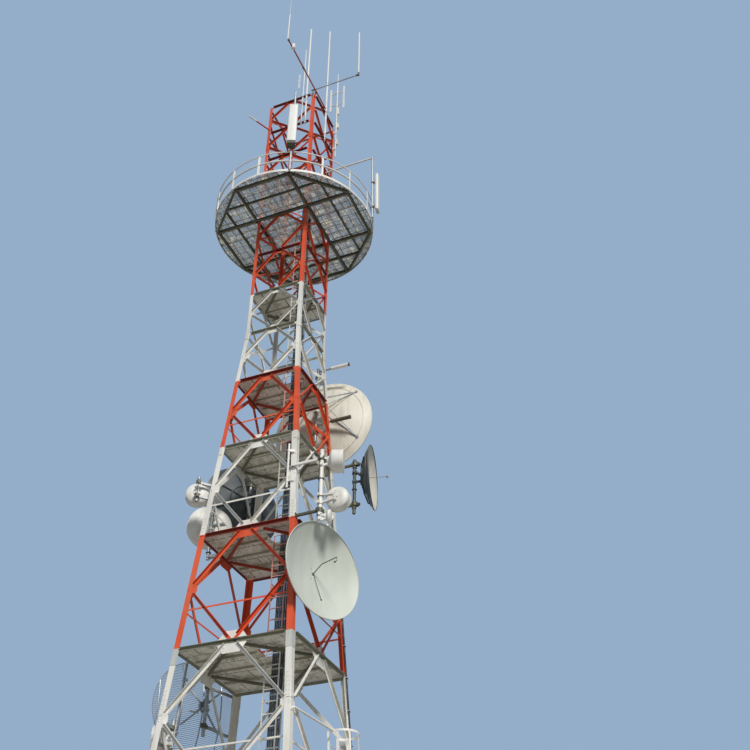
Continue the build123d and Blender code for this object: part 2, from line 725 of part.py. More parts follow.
# Side dish, on arms along X from the back right leg
side_pipe = (1750, 1250)
save_dish("side_dish", SIDE_DISH, side_pipe, 300)
with BuildPart() as side_mount:
    rod(at(*side_pipe, 15200), at(*side_pipe, 16900), MOUNT_PIPE)
    for z in (15470, 16750):
        x = half(z) - 75
        leg_arm(180, -1, z, (x, side_pipe[1]))
        bar(at(x - ARM / 2, side_pipe[1], z), at(side_pipe[0] + 170, side_pipe[1], z), ARM, ARM)
save(side_mount, "side_dish_mount")

# Far dish
far_pipe = (-1290, 930)
save_dish("far_dish", FAR_DISH, far_pipe, 300)
mount("far_dish_mount", far_pipe, 15350, 16850, [(270, -1, 15600), (270, -1, 16600)])

# Grid antenna: a dish cut into level bars
grid_pipe = (-1800, 620)
place, azimuth, radius, depth = GRID_DISH
pitch = 2 * (radius - GRID_BAR) / GRID_SLOTS
with BuildPart() as grid:
    dish(at(*place), azimuth, radius, depth, DISH_LIP, DISH_WALL)
    with BuildSketch(Plane(origin=at(*place), x_dir=aim(azimuth).rotate(Axis.Z, 90), z_dir=aim(azimuth))):
        with GridLocations(0, pitch, 1, GRID_SLOTS):
            Rectangle(2 * radius, pitch - GRID_BAR)
        Circle(radius - GRID_BAR, mode=Mode.INTERSECT)
        for sign in (-1, 0, 1):
            with Locations((sign * radius / 2, 0)):
                Rectangle(GRID_BAR, 2 * radius, mode=Mode.SUBTRACT)
    extrude(amount=-2 * depth, mode=Mode.SUBTRACT)
    collar(*grid_pipe, place[2], MOUNT_PIPE, dish_back(place, azimuth, depth), 200)
save(grid, "grid_antenna")
mount("grid_antenna_mount", grid_pipe, 9550, 11050, [(270, -1, 9800), (270, -1, 10750)])


def save_drum(name, data, pipe, radius=MOUNT_PIPE):
    """A drum antenna with the clamp that holds it on its pipe."""
    place, azimuth, size, length = data
    with BuildPart() as body:
        drum(at(*place), azimuth, size, length, DRUM_HUB)
        collar(pipe[0], pipe[1], place[2], radius, at(*place) - aim(azimuth) * length / 2, size / 3)
    save(body, name)


# Right mast with three drums
right_mast = (1950, -1270)
with BuildPart() as mast:
    rod(at(*right_mast, 13250), at(*right_mast, 15620), 55)
    leg_arm(90, -1, 13890, right_mast, inset=50)
    leg_arm(0, 1, 15370, (half(15370) - 75, right_mast[1]))
    bar(at(half(15370) - 105, right_mast[1], 15370), at(*right_mast, 15370), ARM, ARM)
save(mast, "right_mast")
save_drum("right_drum_upper", DRUM_UPPER, right_mast, 55)
save_drum("right_drum_lower", DRUM_LOWER, right_mast, 55)
save_drum("right_drum_small", DRUM_SMALL, right_mast, 55)

# Drums on the left
left_pipe = (-1500, -1390)
save_drum("left_drum_small", LEFT_SMALL, left_pipe)
mount("left_drum_small_mount", left_pipe, 14850, 15550, [(270, 1, 15000), (270, 1, 15400)])

big_pipe = (-1660, -286)
save_drum("left_drum_big", LEFT_BIG, big_pipe)
with BuildPart() as big_mount:
    rod(at(*big_pipe, 13750), at(*big_pipe, 15300), MOUNT_PIPE)
    strut_z = LEVELS[4] + SUB_STRUT_SHARE * PANEL_HEIGHTS[4]
    for z, tall in ((LEVEL_B - BRACE_LOW / 2, BRACE_LOW), (strut_z, SUB_STRUT)):
        brace_pad(270, -big_pipe[1], z, 2 * ARM, tall, -big_pipe[0] - half(z))
save(big_mount, "left_drum_big_mount")

low_pipe = (-1755, -766)
save_drum("left_drum_low", LEFT_LOW, low_pipe)
mount("left_drum_low_mount", low_pipe, 8600, 9500, [(270, 1, 8800), (270, 1, 9300)])


def panel_antenna(angle, low, high, panel_low, size):
    """An upright pipe on the round platform's rail, with a flat panel antenna outside it."""
    wide, deep, tall = size
    reach = RAIL_OUTER + FIT_GAP + PANEL_PIPE
    way = aim(angle)
    centre = way * reach
    rod(at(centre.X, centre.Y, low), at(centre.X, centre.Y, high), PANEL_PIPE)
    middle = way * (reach + PANEL_STANDOFF + deep / 2)
    with BuildSketch(Plane(origin=at(middle.X, middle.Y, panel_low), x_dir=way)) as section:
        Rectangle(deep, wide)
    extrude(section.sketch, amount=tall)
    for z in (panel_low + 0.15 * tall, panel_low + 0.85 * tall):
        bar(at(centre.X, centre.Y, z), at(middle.X, middle.Y, z), ARM, ARM)
    return centre


with BuildPart() as front_panel:
    panel_antenna(-67.5, LEVEL_ROUND - 50, 29340, 26750, FRONT_PANEL)
save(front_panel, "front_panel_antenna")

with BuildPart() as right_panel:
    pipe = panel_antenna(7.5, LEVEL_ROUND - 50, 28370, 25700, RIGHT_PANEL)
    z = LEVELS[12] - BRACE_HIGH / 2
    brace_pad(90, pipe.Y, z, 2 * ARM, BRACE_HIGH, PAD)
    bar(at(TOP_SIDE / 2 + PAD / 2, pipe.Y, z), at(pipe.X, pipe.Y, z), 40, 40)
save(right_panel, "right_panel_antenna")

# Whips clamped to the bracing at the top
with BuildPart() as whips:
    for turn, along, out, radius, top in (
        (0, 590, 905, 22, 35390),
        (0, 440, 905, 12, 34120),
        (90, 20, 920, 28, 36360),
    ):
        spot = Vector(along, -out, 0).rotate(Axis.Z, turn)
        rod(at(spot.X, spot.Y, LEVELS[13] - 70), at(spot.X, spot.Y, top), radius)
        for z in (LEVELS[13] - BRACE_HIGH / 2, LEVEL_TOP - BRACE_HIGH / 2):
            brace_pad(turn, along, z, ARM, BRACE_HIGH, out - TOP_SIDE / 2)
save(whips, "whips")

# Dipole mast on the back right leg
with BuildPart() as dipoles:
    rod(at(925, 905, 29800), at(925, 905, 34720), 22)
    for z in (30200, 31100):
        face_pad(90, 830, z, ARM, 2 * ARM)
        bar(at(888, 830, z), at(925, 905, z), 40, 40)
    for x in (660, 1190):
        rod(at(x, 905, 32490), at(x, 905, 33870), 12)
    bar(at(660, 905, 33180), at(1190, 905, 33180), 24, 24)
save(dipoles, "dipole_mast")

# Booms at the top
with BuildPart() as front_boom:
    rod(at(930, -60, 31400), at(930, -3170, 31400), 22)
    brace_pad(90, -150, LEVEL_TOP - BRACE_HIGH / 2, ARM, BRACE_HIGH, 40)
    block(905, -150, LEVEL_TOP - BRACE_HIGH, ARM, ARM, 155)
    face_pad(90, -816, 31200, ARM, 2 * ARM)
    block(905, -816, 31200, ARM, ARM, 200)
    rod(at(930, -3150, 31360), at(930, -3150, 32810), 25)
    rod(at(930, -3150, 32700), at(930, -3150, 33700), 7)
    rod(at(960, -2770, 31370), at(960, -2770, 31520), 70)
save(front_boom, "front_boom")

with BuildPart() as right_boom:
    rod(at(800, -905, 31450), at(2600, -905, 31450), 20)
    face_pad(0, 816, 31200, ARM, 2 * ARM)
    block(816, -898, 31200, ARM, 40, 250)
    rod(at(2580, -905, 31400), at(2580, -905, 33960), 12)
save(right_boom, "right_boom")

# Short pole on the front left leg
with BuildPart() as left_pole:
    face_pad(0, -820, 30100, ARM, 2 * ARM, 20)
    rod(at(-855, -884, 30100), at(-1220, -1660, 30100), 25)
save(left_pole, "left_pole")
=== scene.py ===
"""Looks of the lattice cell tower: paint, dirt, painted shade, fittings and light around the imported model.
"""
import json
import random
from math import atan2, cos, degrees, hypot, pi, radians, sin, sqrt

import bmesh
import bpy
from mathutils import Matrix, Vector


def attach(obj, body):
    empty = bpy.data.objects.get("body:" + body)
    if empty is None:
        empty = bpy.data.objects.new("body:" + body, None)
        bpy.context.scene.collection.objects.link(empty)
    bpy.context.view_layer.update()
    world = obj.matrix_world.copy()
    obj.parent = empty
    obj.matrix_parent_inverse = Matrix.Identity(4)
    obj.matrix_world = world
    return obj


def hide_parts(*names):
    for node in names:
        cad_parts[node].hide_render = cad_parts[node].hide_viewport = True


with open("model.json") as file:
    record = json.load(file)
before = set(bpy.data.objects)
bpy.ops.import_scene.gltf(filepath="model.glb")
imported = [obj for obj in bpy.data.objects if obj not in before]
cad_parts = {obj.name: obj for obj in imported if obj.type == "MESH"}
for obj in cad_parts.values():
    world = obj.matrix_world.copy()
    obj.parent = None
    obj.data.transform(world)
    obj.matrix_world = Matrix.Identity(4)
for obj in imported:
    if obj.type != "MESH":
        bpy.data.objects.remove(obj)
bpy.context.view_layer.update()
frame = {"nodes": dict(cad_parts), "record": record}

RNG = random.Random(11)
UP, RIGHT, BACK = Vector((0, 0, 1)), Vector((1, 0, 0)), Vector((0, 1, 0))

# The tower's own sizes, in metres, as the model has them
AXIS = Vector((-2.2225, 2.2225, 0))
LEVELS = [0, 3.95, 7.55, 10.85, 13.85, 16.55, 18.85, 20.65, 22.2, 23.85, 25.5, 26.95, 28.4, 29.85, 31.3]
KINK_PANEL = 7
KINK = LEVELS[KINK_PANEL]
BASE_HALF, TOP_HALF = 2.2225, 0.8665
LEAN = atan2(BASE_HALF - TOP_HALF, KINK)
WHITE_BANDS = ((LEVELS[2], LEVELS[3]), (LEVELS[4], LEVELS[5]), (LEVELS[6], LEVELS[8]))
DECK = LEVELS[10]
TURNS = {"front": 0, "right": 90, "back": 180, "left": 270}
FIT_GAP = 0.0003

# Upright pipes on arms, in plan from the axis, and the radii of these pipes and of the mast
FRONT_PIPE, BACK_PIPE, SIDE_PIPE = (1.520, -0.850), (0.550, 1.140), (1.750, 1.250)
FAR_PIPE, GRID_PIPE, MAST_PIPE = (-1.290, 0.930), (-1.800, 0.620), (1.950, -1.270)
LEFT_PIPE, BIG_PIPE, LOW_PIPE = (-1.500, -1.390), (-1.660, -0.286), (-1.755, -0.766)
PIPE, MAST = 0.045, 0.055


def half(z):
    """Half the side of the lattice at height z."""
    return max(TOP_HALF, BASE_HALF - (BASE_HALF - TOP_HALF) * z / KINK)


def at(x, y, z):
    """A point given from the tower's axis."""
    return AXIS + Vector((x, y, z))


def aim(azimuth):
    """The level direction at an angle from +X, in degrees."""
    return Vector((cos(radians(azimuth)), sin(radians(azimuth)), 0))


def turned(turn, x, y):
    """A level vector given for the front face, turned to another face."""
    return Matrix.Rotation(radians(turn), 3, "Z") @ Vector((x, y, 0))


def face_point(turn, along, z, out=0.0):
    """A point on one face of the tower, at a distance out from the legs' outer plane."""
    return AXIS + turned(turn, along, -half(z) - out) + UP * z


def face_way(turn, z):
    """The outward direction of one face of the tower."""
    lean = LEAN if z < KINK else 0
    return turned(turn, 0, -cos(lean)) + UP * sin(lean)


def square(reach):
    """The corners of a square about zero, as pairs."""
    return [(x, y) for x in (-reach, reach) for y in (-reach, reach)]


def spokes(way, count, shift=0.0):
    """Directions square to a way and even round it, moved on by a share of a step."""
    side = way.cross(UP if abs(way.z) < 0.95 else RIGHT).normalized()
    over = side.cross(way)
    turns = [2 * pi * (n + shift) / count for n in range(count)]
    return [cos(t) * side + sin(t) * over for t in turns]


def add_object(name, data):
    """An object linked to the scene."""
    made = bpy.data.objects.new(name, data)
    bpy.context.scene.collection.objects.link(made)
    return made


def clear_of_levels(z, gap):
    """Whether a height is further than a gap from every level."""
    return min(abs(z - level) for level in LEVELS) > gap


# Materials


class Nodes:
    """A node tree, with short ways to fill it."""

    def __init__(self, tree):
        self.nodes, self.links = tree.nodes, tree.links

    def feed(self, target, value):
        """Link a socket to an input, or set the input to a fixed value."""
        if isinstance(value, bpy.types.NodeSocket):
            self.links.new(value, target)
        else:
            target.default_value = value

    def node(self, kind, **values):
        """A node with its properties or inputs set by name."""
        made = self.nodes.new(kind)
        for key, value in values.items():
            if hasattr(made, key):
                setattr(made, key, value)
            else:
                self.feed(made.inputs[key.replace("_", " ")], value)
        return made

    def maths(self, operation, *values):
        """The result of a Math node, whose values are sockets or numbers."""
        made = self.node("ShaderNodeMath", operation=operation)
        for value, socket in zip(values, made.inputs):
            self.feed(socket, value)
        return made.outputs[0]


class Shader(Nodes):
    """A Principled material built node by node."""

    def __init__(self, name, roughness=0.5, metallic=0.0):
        self.mat = bpy.data.materials.new(name)
        self.mat.use_nodes = True
        super().__init__(self.mat.node_tree)
        self.bsdf = self.nodes["Principled BSDF"]
        self.give(Roughness=roughness, Metallic=metallic)
        self.place = self.node("ShaderNodeTexCoord").outputs["Object"]

    def give(self, **values):
        """Set or link the shader's own inputs by name."""
        for key, value in values.items():
            self.feed(self.bsdf.inputs[key.replace("_", " ")], value)

    def noise(self, scale, detail, rough, stretch=(1, 1, 1)):
        """Noise over the object, stretched along its axes."""
        mapped = self.node("ShaderNodeMapping", Vector=self.place, Scale=stretch).outputs[0]
        made = self.node("ShaderNodeTexNoise", Vector=mapped, Scale=scale, Detail=detail, Roughness=rough)
        return made.outputs["Fac"]

    def ramp(self, source, *stops):
        """A colour ramp between two stops, each a position and a grey or a colour."""
        made = self.node("ShaderNodeValToRGB", Fac=source)
        for element, (position, colour) in zip(made.color_ramp.elements, stops):
            element.position = position
            element.color = (*colour, 1) if isinstance(colour, tuple) else (colour, colour, colour, 1)
        return made.outputs["Color"]

    def cover(self, scale, detail, rough, start, full, most=1, stretch=(1, 1, 1)):
        """A share that grows from 0 to most as the noise goes from start to full."""
        return self.ramp(self.noise(scale, detail, rough, stretch), (start, 0), (full, most))

    def mix(self, share, first, second, blend="MIX"):
        """Two colours mixed by a share, each a socket or a fixed value."""
        made = self.node("ShaderNodeMix", data_type="RGBA", blend_type=blend)
        for value, index in ((share, 0), (first, 6), (second, 7)):
            self.feed(made.inputs[index], (*value, 1) if isinstance(value, tuple) else value)
        return made.outputs[2]

    def split(self, vector):
        """The three parts of a vector."""
        return self.node("ShaderNodeSeparateXYZ", Vector=vector).outputs

    def within(self, spans):
        """1 where a point's height lies in one of the spans, and 0 elsewhere."""
        height = self.split(self.place)[2]
        total = None
        for low, high in spans:
            inside = self.maths("COMPARE", height, (low + high) / 2, (high - low) / 2)
            total = self.maths("ADD", total, inside) if total else inside
        return total

    def between_legs(self):
        """1 on what spans a face or a level between the legs, and 0 on the legs."""
        x, y, height = self.split(self.place)
        slope = (TOP_HALF - BASE_HALF) / KINK
        edge = self.maths("MAXIMUM", self.maths("MULTIPLY_ADD", height, slope, BASE_HALF), TOP_HALF)
        sides = [self.maths("ABSOLUTE", self.maths("SUBTRACT", v, c)) for v, c in ((x, AXIS.x), (y, AXIS.y))]
        reach = self.maths("ADD", self.maths("MINIMUM", *sides), LEG_ZONE)
        return self.maths("LESS_THAN", reach, edge)

    def underside(self, most):
        """The share of painted shade on faces that look down, up to most."""
        normal = self.node("ShaderNodeNewGeometry").outputs["Normal"]
        return self.ramp(self.maths("MULTIPLY", self.split(normal)[2], -1), (0.3, 0), (0.9, most))

    def bump(self, height, strength, distance):
        """Relief from a height."""
        made = self.node("ShaderNodeBump", Height=height, Strength=strength, Distance=distance)
        self.give(Normal=made.outputs["Normal"])

    def stained(self, colour, stains):
        """A colour under stains, each a shade and the cover that spreads it."""
        for shade, *cover in stains:
            colour = self.mix(self.cover(*cover), colour, shade)
        return colour

    def weather(self, colour, rust, dirt):
        """Streaks of dirt, chips and rust over a colour."""
        colour = self.stained(colour, [(DIRT, 1.6, 5, 0.6, 0.45, 0.75, dirt, (3, 3, 0.25))])
        chips = self.cover(9, 8, 0.75, 0.62, 0.66)
        patch = self.cover(0.9, 3, 0.5, 0.42, 0.62, rust)
        return self.mix(self.mix(1.0, chips, patch, "MULTIPLY"), colour, RUST)

    def finish(self, colour, wear, gloss, grain, rough=0.6):
        """Weather a colour, vary its gloss, raise its grain and return the material.

        wear is the most rust and dirt, gloss a noise scale and two roughnesses, and grain a
        noise scale, a strength and a distance.
        """
        scale, low, high = gloss
        sheen = self.ramp(self.noise(scale, 6, 0.6), (0.3, low), (0.75, high))
        self.give(Base_Color=self.weather(colour, *wear), Roughness=sheen)
        self.bump(self.noise(grain[0], 6, rough), *grain[1:])
        return self.mat


# Colours of paint, dirt and painted shade, and how far they reach at the levels
RUST, DIRT, OLIVE_DIRT_AND_SHADE = (0.16, 0.055, 0.02), (0.10, 0.085, 0.065), (0.36, 0.37, 0.27)
RED, RED_FADED, RED_PAINTED_SHADE = (0.75, 0.075, 0.018), (0.77, 0.135, 0.05), (0.13, 0.012, 0.008)
WHITE, WHITE_AGED, WHITE_PAINTED_SHADE = (0.86, 0.86, 0.83), (0.76, 0.755, 0.69), (0.25, 0.25, 0.18)
BAND_LIFT, OLIVE_DEEP, LADDER_FADE = 0.004, 0.085, 0.45
# Painted shade: its reach in from the legs and down from each level, and its strength on level members and
# on faces that look down
LEG_ZONE, LEVEL_DEEP, LEVEL_PAINTED_SHADE, UNDER_PAINTED_SHADE = 0.16, 0.081, 0.85, 0.75


def banded(name, ladder=False):
    """Red and white bands of paint by height, faded, streaked, chipped and darkened with painted shade."""
    made = Shader(name)
    band = made.within([(low + BAND_LIFT, high + BAND_LIFT) for low, high in WHITE_BANDS])
    fade = made.cover(0.7, 4, 0.6, 0.35, 0.7)
    colour = made.mix(band, made.mix(fade, RED, RED_FADED), made.mix(fade, WHITE, WHITE_AGED))
    # Painted shade: faces that look down are darkened
    painted_shade = made.underside(UNDER_PAINTED_SHADE)
    if ladder:
        colour = made.mix(LADDER_FADE, colour, WHITE_AGED)
    else:
        # An olive tint at the top of the white band at the second platform: partly dirt, partly painted
        # shade
        colour = made.mix(made.within([(LEVELS[3] - OLIVE_DEEP, LEVELS[3] + BAND_LIFT)]), colour, OLIVE_DIRT_AND_SHADE)
        # Painted shade on the level members between the legs, in a strip just below each level
        levels = made.within([(level - LEVEL_DEEP, level + 0.001) for level in LEVELS[1:]])
        levels = made.maths("MULTIPLY", levels, made.maths("MULTIPLY", made.between_legs(), LEVEL_PAINTED_SHADE))
        painted_shade = made.maths("MAXIMUM", painted_shade, levels)
    # The painted shade is dark red in the red bands and dark olive in the white ones
    colour = made.mix(painted_shade, colour, made.mix(band, RED_PAINTED_SHADE, WHITE_PAINTED_SHADE))
    return made.finish(colour, (0.55, 0.3), (14, 0.38, 0.62), (60, 0.25, 0.001))


def paint(name, base, aged, rust, dirt, grain=40, rough=(0.4, 0.6), metallic=0.0):
    """Plain weathered paint or metal."""
    made = Shader(name, sum(rough) / 2, metallic)
    colour = made.mix(made.cover(1.1, 5, 0.6, 0.35, 0.7), base, aged)
    return made.finish(colour, (rust, dirt), (12, *rough), (grain, 0.25, 0.001))


# Floor plates, with the levels that have them, the depths of the joists and plan beams, and the painted
# shade on them
SHEET_SHADES = {
    "Color1": (0.74, 0.72, 0.63, 1),
    "Color2": (0.84, 0.82, 0.74, 1),
    "Mortar": (0.10, 0.10, 0.07, 1),
}
SHEET_SIZES = {"Scale": 1.0, "Brick_Width": 1.1, "Row_Height": 0.62, "Mortar_Size": 0.014}
SHEET_STAINS = (
    ((0.33, 0.31, 0.22), 2.6, 7, 0.72, 0.48, 0.60, 0.7, (1.6, 1, 1)),
    ((0.88, 0.88, 0.82), 4.2, 5, 0.7, 0.53, 0.60, 0.9, (2.4, 0.9, 1)),
    ((0.40, 0.20, 0.09), 2.3, 8, 0.75, 0.60, 0.68, 0.75, (2, 1, 1)),
)
SHEETED = [LEVELS[n] for n in (2, 3, 4, 5, 6, 8)]
PLAN_BEAM, JOIST = 0.1255, 0.0601
JOIST_PAINTED_SHADE, WHITE_BEAM_PAINTED_SHADE, RED_BEAM_PAINTED_SHADE = (0.42, 0.40, 0.31), (0.14, 0.145, 0.09), (0.36, 0.04, 0.014)


def sheeted():
    """Mottled floor plates with dark seams, over joists and plan beams in painted shade."""
    made = Shader("platform_paint", 0.6)
    sheets = made.node("ShaderNodeTexBrick", Vector=made.place, **SHEET_SIZES, **SHEET_SHADES)
    colour = made.stained(sheets.outputs["Color"], SHEET_STAINS)
    # Painted shade: the joists are darkened, and the plan beams take a shaded white or a shaded red by band
    for chosen, deep, top, shade in (
        (SHEETED, JOIST, 0, JOIST_PAINTED_SHADE),
        (SHEETED[1::2], PLAN_BEAM, JOIST, WHITE_BEAM_PAINTED_SHADE),
        (SHEETED[::2], PLAN_BEAM, JOIST, RED_BEAM_PAINTED_SHADE),
    ):
        colour = made.mix(made.within([(z - deep, z - top) for z in chosen]), colour, shade)
    return made.finish(colour, (0.8, 0.3), (9, 0.45, 0.75), (26, 0.4, 0.003), 0.65)


GRATING_SHADE = (0.34, 0.39, 0.43)
GRATING_STAINS = (
    ((0.84, 0.82, 0.66), 4.2, 7, 0.75, 0.50, 0.57, 0.95),
    ((0.26, 0.15, 0.07), 3.4, 8, 0.75, 0.59, 0.66, 0.8, (1, 1.4, 1)),
    ((0.09, 0.10, 0.08), 4.5, 5, 0.6, 0.57, 0.66, 0.7, (1.3, 1, 1)),
)


def mottled():
    """Grey grating with pale droppings, grit and rust in patches."""
    made = Shader("deck_steel", 0.6, 0.2)
    grit = made.stained(GRATING_SHADE, GRATING_STAINS)
    return made.finish(grit, (0.4, 0.3), (11, 0.42, 0.7), (45, 0.3, 0.001))


def galvanized():
    """Zinc with its crystal spangle, dulled."""
    made = Shader("galvanized", 0.5, 0.6)
    cells = made.node("ShaderNodeTexVoronoi", Vector=made.place, Scale=28.0, feature="F1").outputs["Color"]
    spangle = made.ramp(cells, (0.2, (0.34, 0.35, 0.35)), (0.8, (0.55, 0.56, 0.56)))
    made.give(Base_Color=made.weather(spangle, 0.45, 0.35))
    made.give(Roughness=made.ramp(cells, (0.1, 0.40), (0.9, 0.62)))
    made.bump(made.noise(50, 5, 0.6), 0.2, 0.0008)
    return made.mat


def rubber():
    """Black cable jackets with dust and fine lengthwise drawing."""
    made = Shader("cable_jacket", 0.55)
    drawn = made.noise(5, 6, 0.65, (1, 1, 0.3))
    jacket = made.ramp(drawn, (0.45, (0.016, 0.016, 0.017)), (0.8, (0.07, 0.068, 0.062)))
    scuffed = made.stained(jacket, [((0.36, 0.36, 0.34), 11, 5, 0.7, 0.56, 0.68, 0.75, (3, 3, 0.35))])
    made.give(Base_Color=scuffed, Roughness=made.ramp(made.noise(30, 4, 0.5), (0.3, 0.42), (0.7, 0.68)))
    made.bump(made.noise(90, 3, 0.5, (1, 1, 0.05)), 0.25, 0.0008)
    return made.mat


# Fresh and aged colour, rust, dirt, and for some the grain, the roughness and how metallic each is
PAINTS = {
    "beam_paint": ((0.075, 0.08, 0.05), (0.14, 0.14, 0.09), 0.3, 0.4),
    "white_paint": ((0.84, 0.84, 0.81), (0.76, 0.75, 0.70), 0.3, 0.2),
    "dish_green_grey": ((0.56, 0.60, 0.54), (0.62, 0.66, 0.60), 0.05, 0.12, 20),
    "dish_cream": ((0.74, 0.72, 0.63), (0.66, 0.64, 0.55), 0.15, 0.3, 20),
    "dish_slate": ((0.085, 0.105, 0.12), (0.13, 0.15, 0.16), 0.1, 0.3, 20),
    "grid_metal": ((0.46, 0.50, 0.53), (0.34, 0.37, 0.39), 0.1, 0.25, 40, (0.35, 0.55), 0.5),
    "drum_white": ((0.84, 0.84, 0.81), (0.73, 0.73, 0.68), 0.1, 0.3),
    "drum_grey": ((0.48, 0.51, 0.51), (0.60, 0.61, 0.58), 0.1, 0.3),
    "radome_white": ((0.83, 0.84, 0.82), (0.76, 0.77, 0.73), 0.03, 0.15, 40, (0.3, 0.5)),
}
MATERIALS = {paint_name: paint(paint_name, *values) for paint_name, values in PAINTS.items()}
MATERIALS["banded_paint"] = banded("banded_paint")
MATERIALS["ladder_paint"] = banded("ladder_paint", ladder=True)
MATERIALS["platform_paint"] = sheeted()
MATERIALS["deck_steel"] = mottled()
MATERIALS["galvanized"] = galvanized()
MATERIALS["cable_jacket"] = rubber()
for entry in frame["record"]["subparts"]:
    node_mesh = frame["nodes"][entry["node"]].data
    node_mesh.materials.clear()
    node_mesh.materials.append(MATERIALS[entry["material_slot"]])


# Mesh building


class Shape:
    """Points and faces gathered into one mesh."""

    def __init__(self):
        self.points = []
        self.faces = []

    def loft(self, rings, capped=True):
        """Skin a row of rings that have the same number of points."""
        first = len(self.points)
        count = len(rings[0])
        for ring in rings:
            self.points.extend(ring)
        for row in range(len(rings) - 1):
            for n in range(count):
                a = first + row * count + n
                b = first + row * count + (n + 1) % count
                self.faces.append((a, b, b + count, a + count))
        if capped:
            last = first + (len(rings) - 1) * count
            self.faces.append(tuple(first + n for n in reversed(range(count))))
            self.faces.append(tuple(last + n for n in range(count)))

    def tube(self, path, radius, sides=8):
        """A round bar along a path of points."""
        rings = []
        for n, point in enumerate(path):
            run = (path[min(n + 1, len(path) - 1)] - path[max(n - 1, 0)]).normalized()
            rings.append([point + radius * spoke for spoke in spokes(run, sides)])
        self.loft(rings)

    def upright(self, x, y, low, high, radius, sides=8):
        """A round bar standing at a place in plan, given from the tower's axis."""
        self.tube([at(x, y, low), at(x, y, high)], radius, sides)

    def bar(self, start, end, wide, deep, up=UP):
        """A rectangular bar from start to end, its depth turned towards up."""
        run = (end - start).normalized()
        side = run.cross(up).normalized() * wide / 2
        over = side.cross(run).normalized() * deep / 2
        corners = (side + over, over - side, -side - over, side - over)
        self.loft([[point + corner for corner in corners] for point in (start, end)])

    def block(self, spot, reach, wide, deep, up=UP):
        """A bar that reaches to both sides of a spot by a vector."""
        self.bar(spot - reach, spot + reach, wide, deep, up)

    def beam(self, start, end, wide, deep, web=0.008):
        """A level beam of I section whose top lies on the line from start to end."""
        for low, thick, across in ((0, web, wide), (web, deep - 2 * web, web), (deep - web, web, wide)):
            drop = UP * (low + thick / 2)
            self.bar(start - drop, end - drop, across, thick)

    def lathe(self, origin, way, outline, sides=64, closed=False):
        """A surface turned about an axis, from (radius, distance along) pairs."""
        around = spokes(way, sides)
        rings = [[origin + way * d + spoke * max(r, 0.0004) for spoke in around] for r, d in outline]
        self.loft(rings + rings[:1] if closed else rings, capped=not closed)

    def collar(self, spot, way, inner, outer, reach, sides=32):
        """A flat ring round an axis, reaching to both sides of a spot on it."""
        outline = [(inner, -reach), (outer, -reach), (outer, reach), (inner, reach)]
        self.lathe(spot, way, outline, sides, closed=True)

    def ring(self, origin, way, radius, tube, sides=96, around=8):
        """A round bar bent into a full ring."""
        turns = [2 * pi * k / around for k in range(around)]
        self.lathe(origin, way, [(radius + tube * cos(t), tube * sin(t)) for t in turns], sides, closed=True)

    def ferrule(self, spot, radius, low, high):
        """A metal sleeve with bevelled ends round an upright rod through a spot."""
        wide = radius + 0.005
        outline = [(radius, low), (wide, low + 0.006), (wide, high - 0.006), (radius, high)]
        self.lathe(spot - UP * spot.z, UP, outline, 20)

    def bolt(self, spot, way, size=0.016):
        """A hexagon head, standing out along way."""
        self.lathe(spot, way, [(size, 0), (size, size * 0.65), (size * 0.8, size * 0.8)], 6)

    def u_bolt(self, spot, way, radius):
        """A U bolt and saddle that hold a pipe against steel behind it."""
        across = way.cross(UP)
        self.block(spot, across * (radius + 0.03), 0.02, 0.05)
        bend, turns = radius + 0.006, [pi * k / 8 for k in range(9)]
        arc = [spot + way * (radius + 0.012 + bend * sin(t)) + across * bend * cos(t) for t in turns]
        for height in (-0.018, 0.018):
            self.tube([p + UP * height for p in arc], 0.006, 6)

    def piece(self, name, slot, replaces=(), smooth=True):
        """Finish the mesh as a piece of the tower."""
        mesh = bpy.data.meshes.new(name)
        mesh.from_pydata([tuple(p) for p in self.points], [], self.faces)
        mesh.validate()
        skin = bmesh.new()
        skin.from_mesh(mesh)
        bmesh.ops.recalc_face_normals(skin, faces=skin.faces)
        skin.to_mesh(mesh)
        skin.free()
        if smooth:
            mesh.shade_smooth()
            mesh.set_sharp_from_angle(angle=radians(32))
        mesh.materials.append(MATERIALS[slot])
        made = add_object(name, mesh)
        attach(made, "root")
        if replaces:
            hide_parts(*replaces)


# Bracing, bolts and splices of the lattice, with sizes by whether a panel is above the kink

BRACE = {False: 0.080, True: 0.055}
LEG_THICK = {False: 0.014, True: 0.010}
LEG_PLATE = {False: (0.205, 0.360), True: (0.125, 0.180)}
LATTICE_BOLT = {False: 0.015, True: 0.011}
BRACE_THICK, BRACE_STAND, LEVEL_TRIM = 0.008, 0.065, 0.052
GUSSET_LOW, GUSSET_HIGH, GUSSET_SHRINK, GUSSET_TALL = 0.95, 0.30, 1.6, 0.75
GUSSET_TOP = ((0.5, 0.15), (0.3, 0.5), (-0.3, 0.5), (-0.5, 0.15))
GUSSET_CORNERS = (*GUSSET_TOP, *[(-x, -y) for x, y in GUSSET_TOP])
LEG_PLATE_CORNERS = ((0, 0.5), (-0.5, 0.5), (-1, 0.2), (-1, -0.2), (-0.5, -0.5), (0, -0.5))
LEG_PLATE_EDGE, LEG_CLEAR, LEG_BOLT_IN = 0.05, 0.012, 0.045
BASE_JOINT, BASE_STRUT = 0.45, 2.15
SUB_STRUT, SUB_STRUT_SHARE, SUB_STRUT_PANELS = 0.045, 0.32, (3, 4, 5)
WHITE_GUSSETS = (3, 5, 8)


def gusset_wide(level):
    """The width of the gusset in the middle of a face at one level."""
    return GUSSET_LOW + (GUSSET_HIGH - GUSSET_LOW) * min(1, GUSSET_SHRINK * level / (len(LEVELS) - 1))


def leg_joint(panel):
    """The height at which a panel's diagonals meet the legs."""
    return (LEVELS[panel] + LEVELS[panel + 1]) / 2 if panel else BASE_JOINT


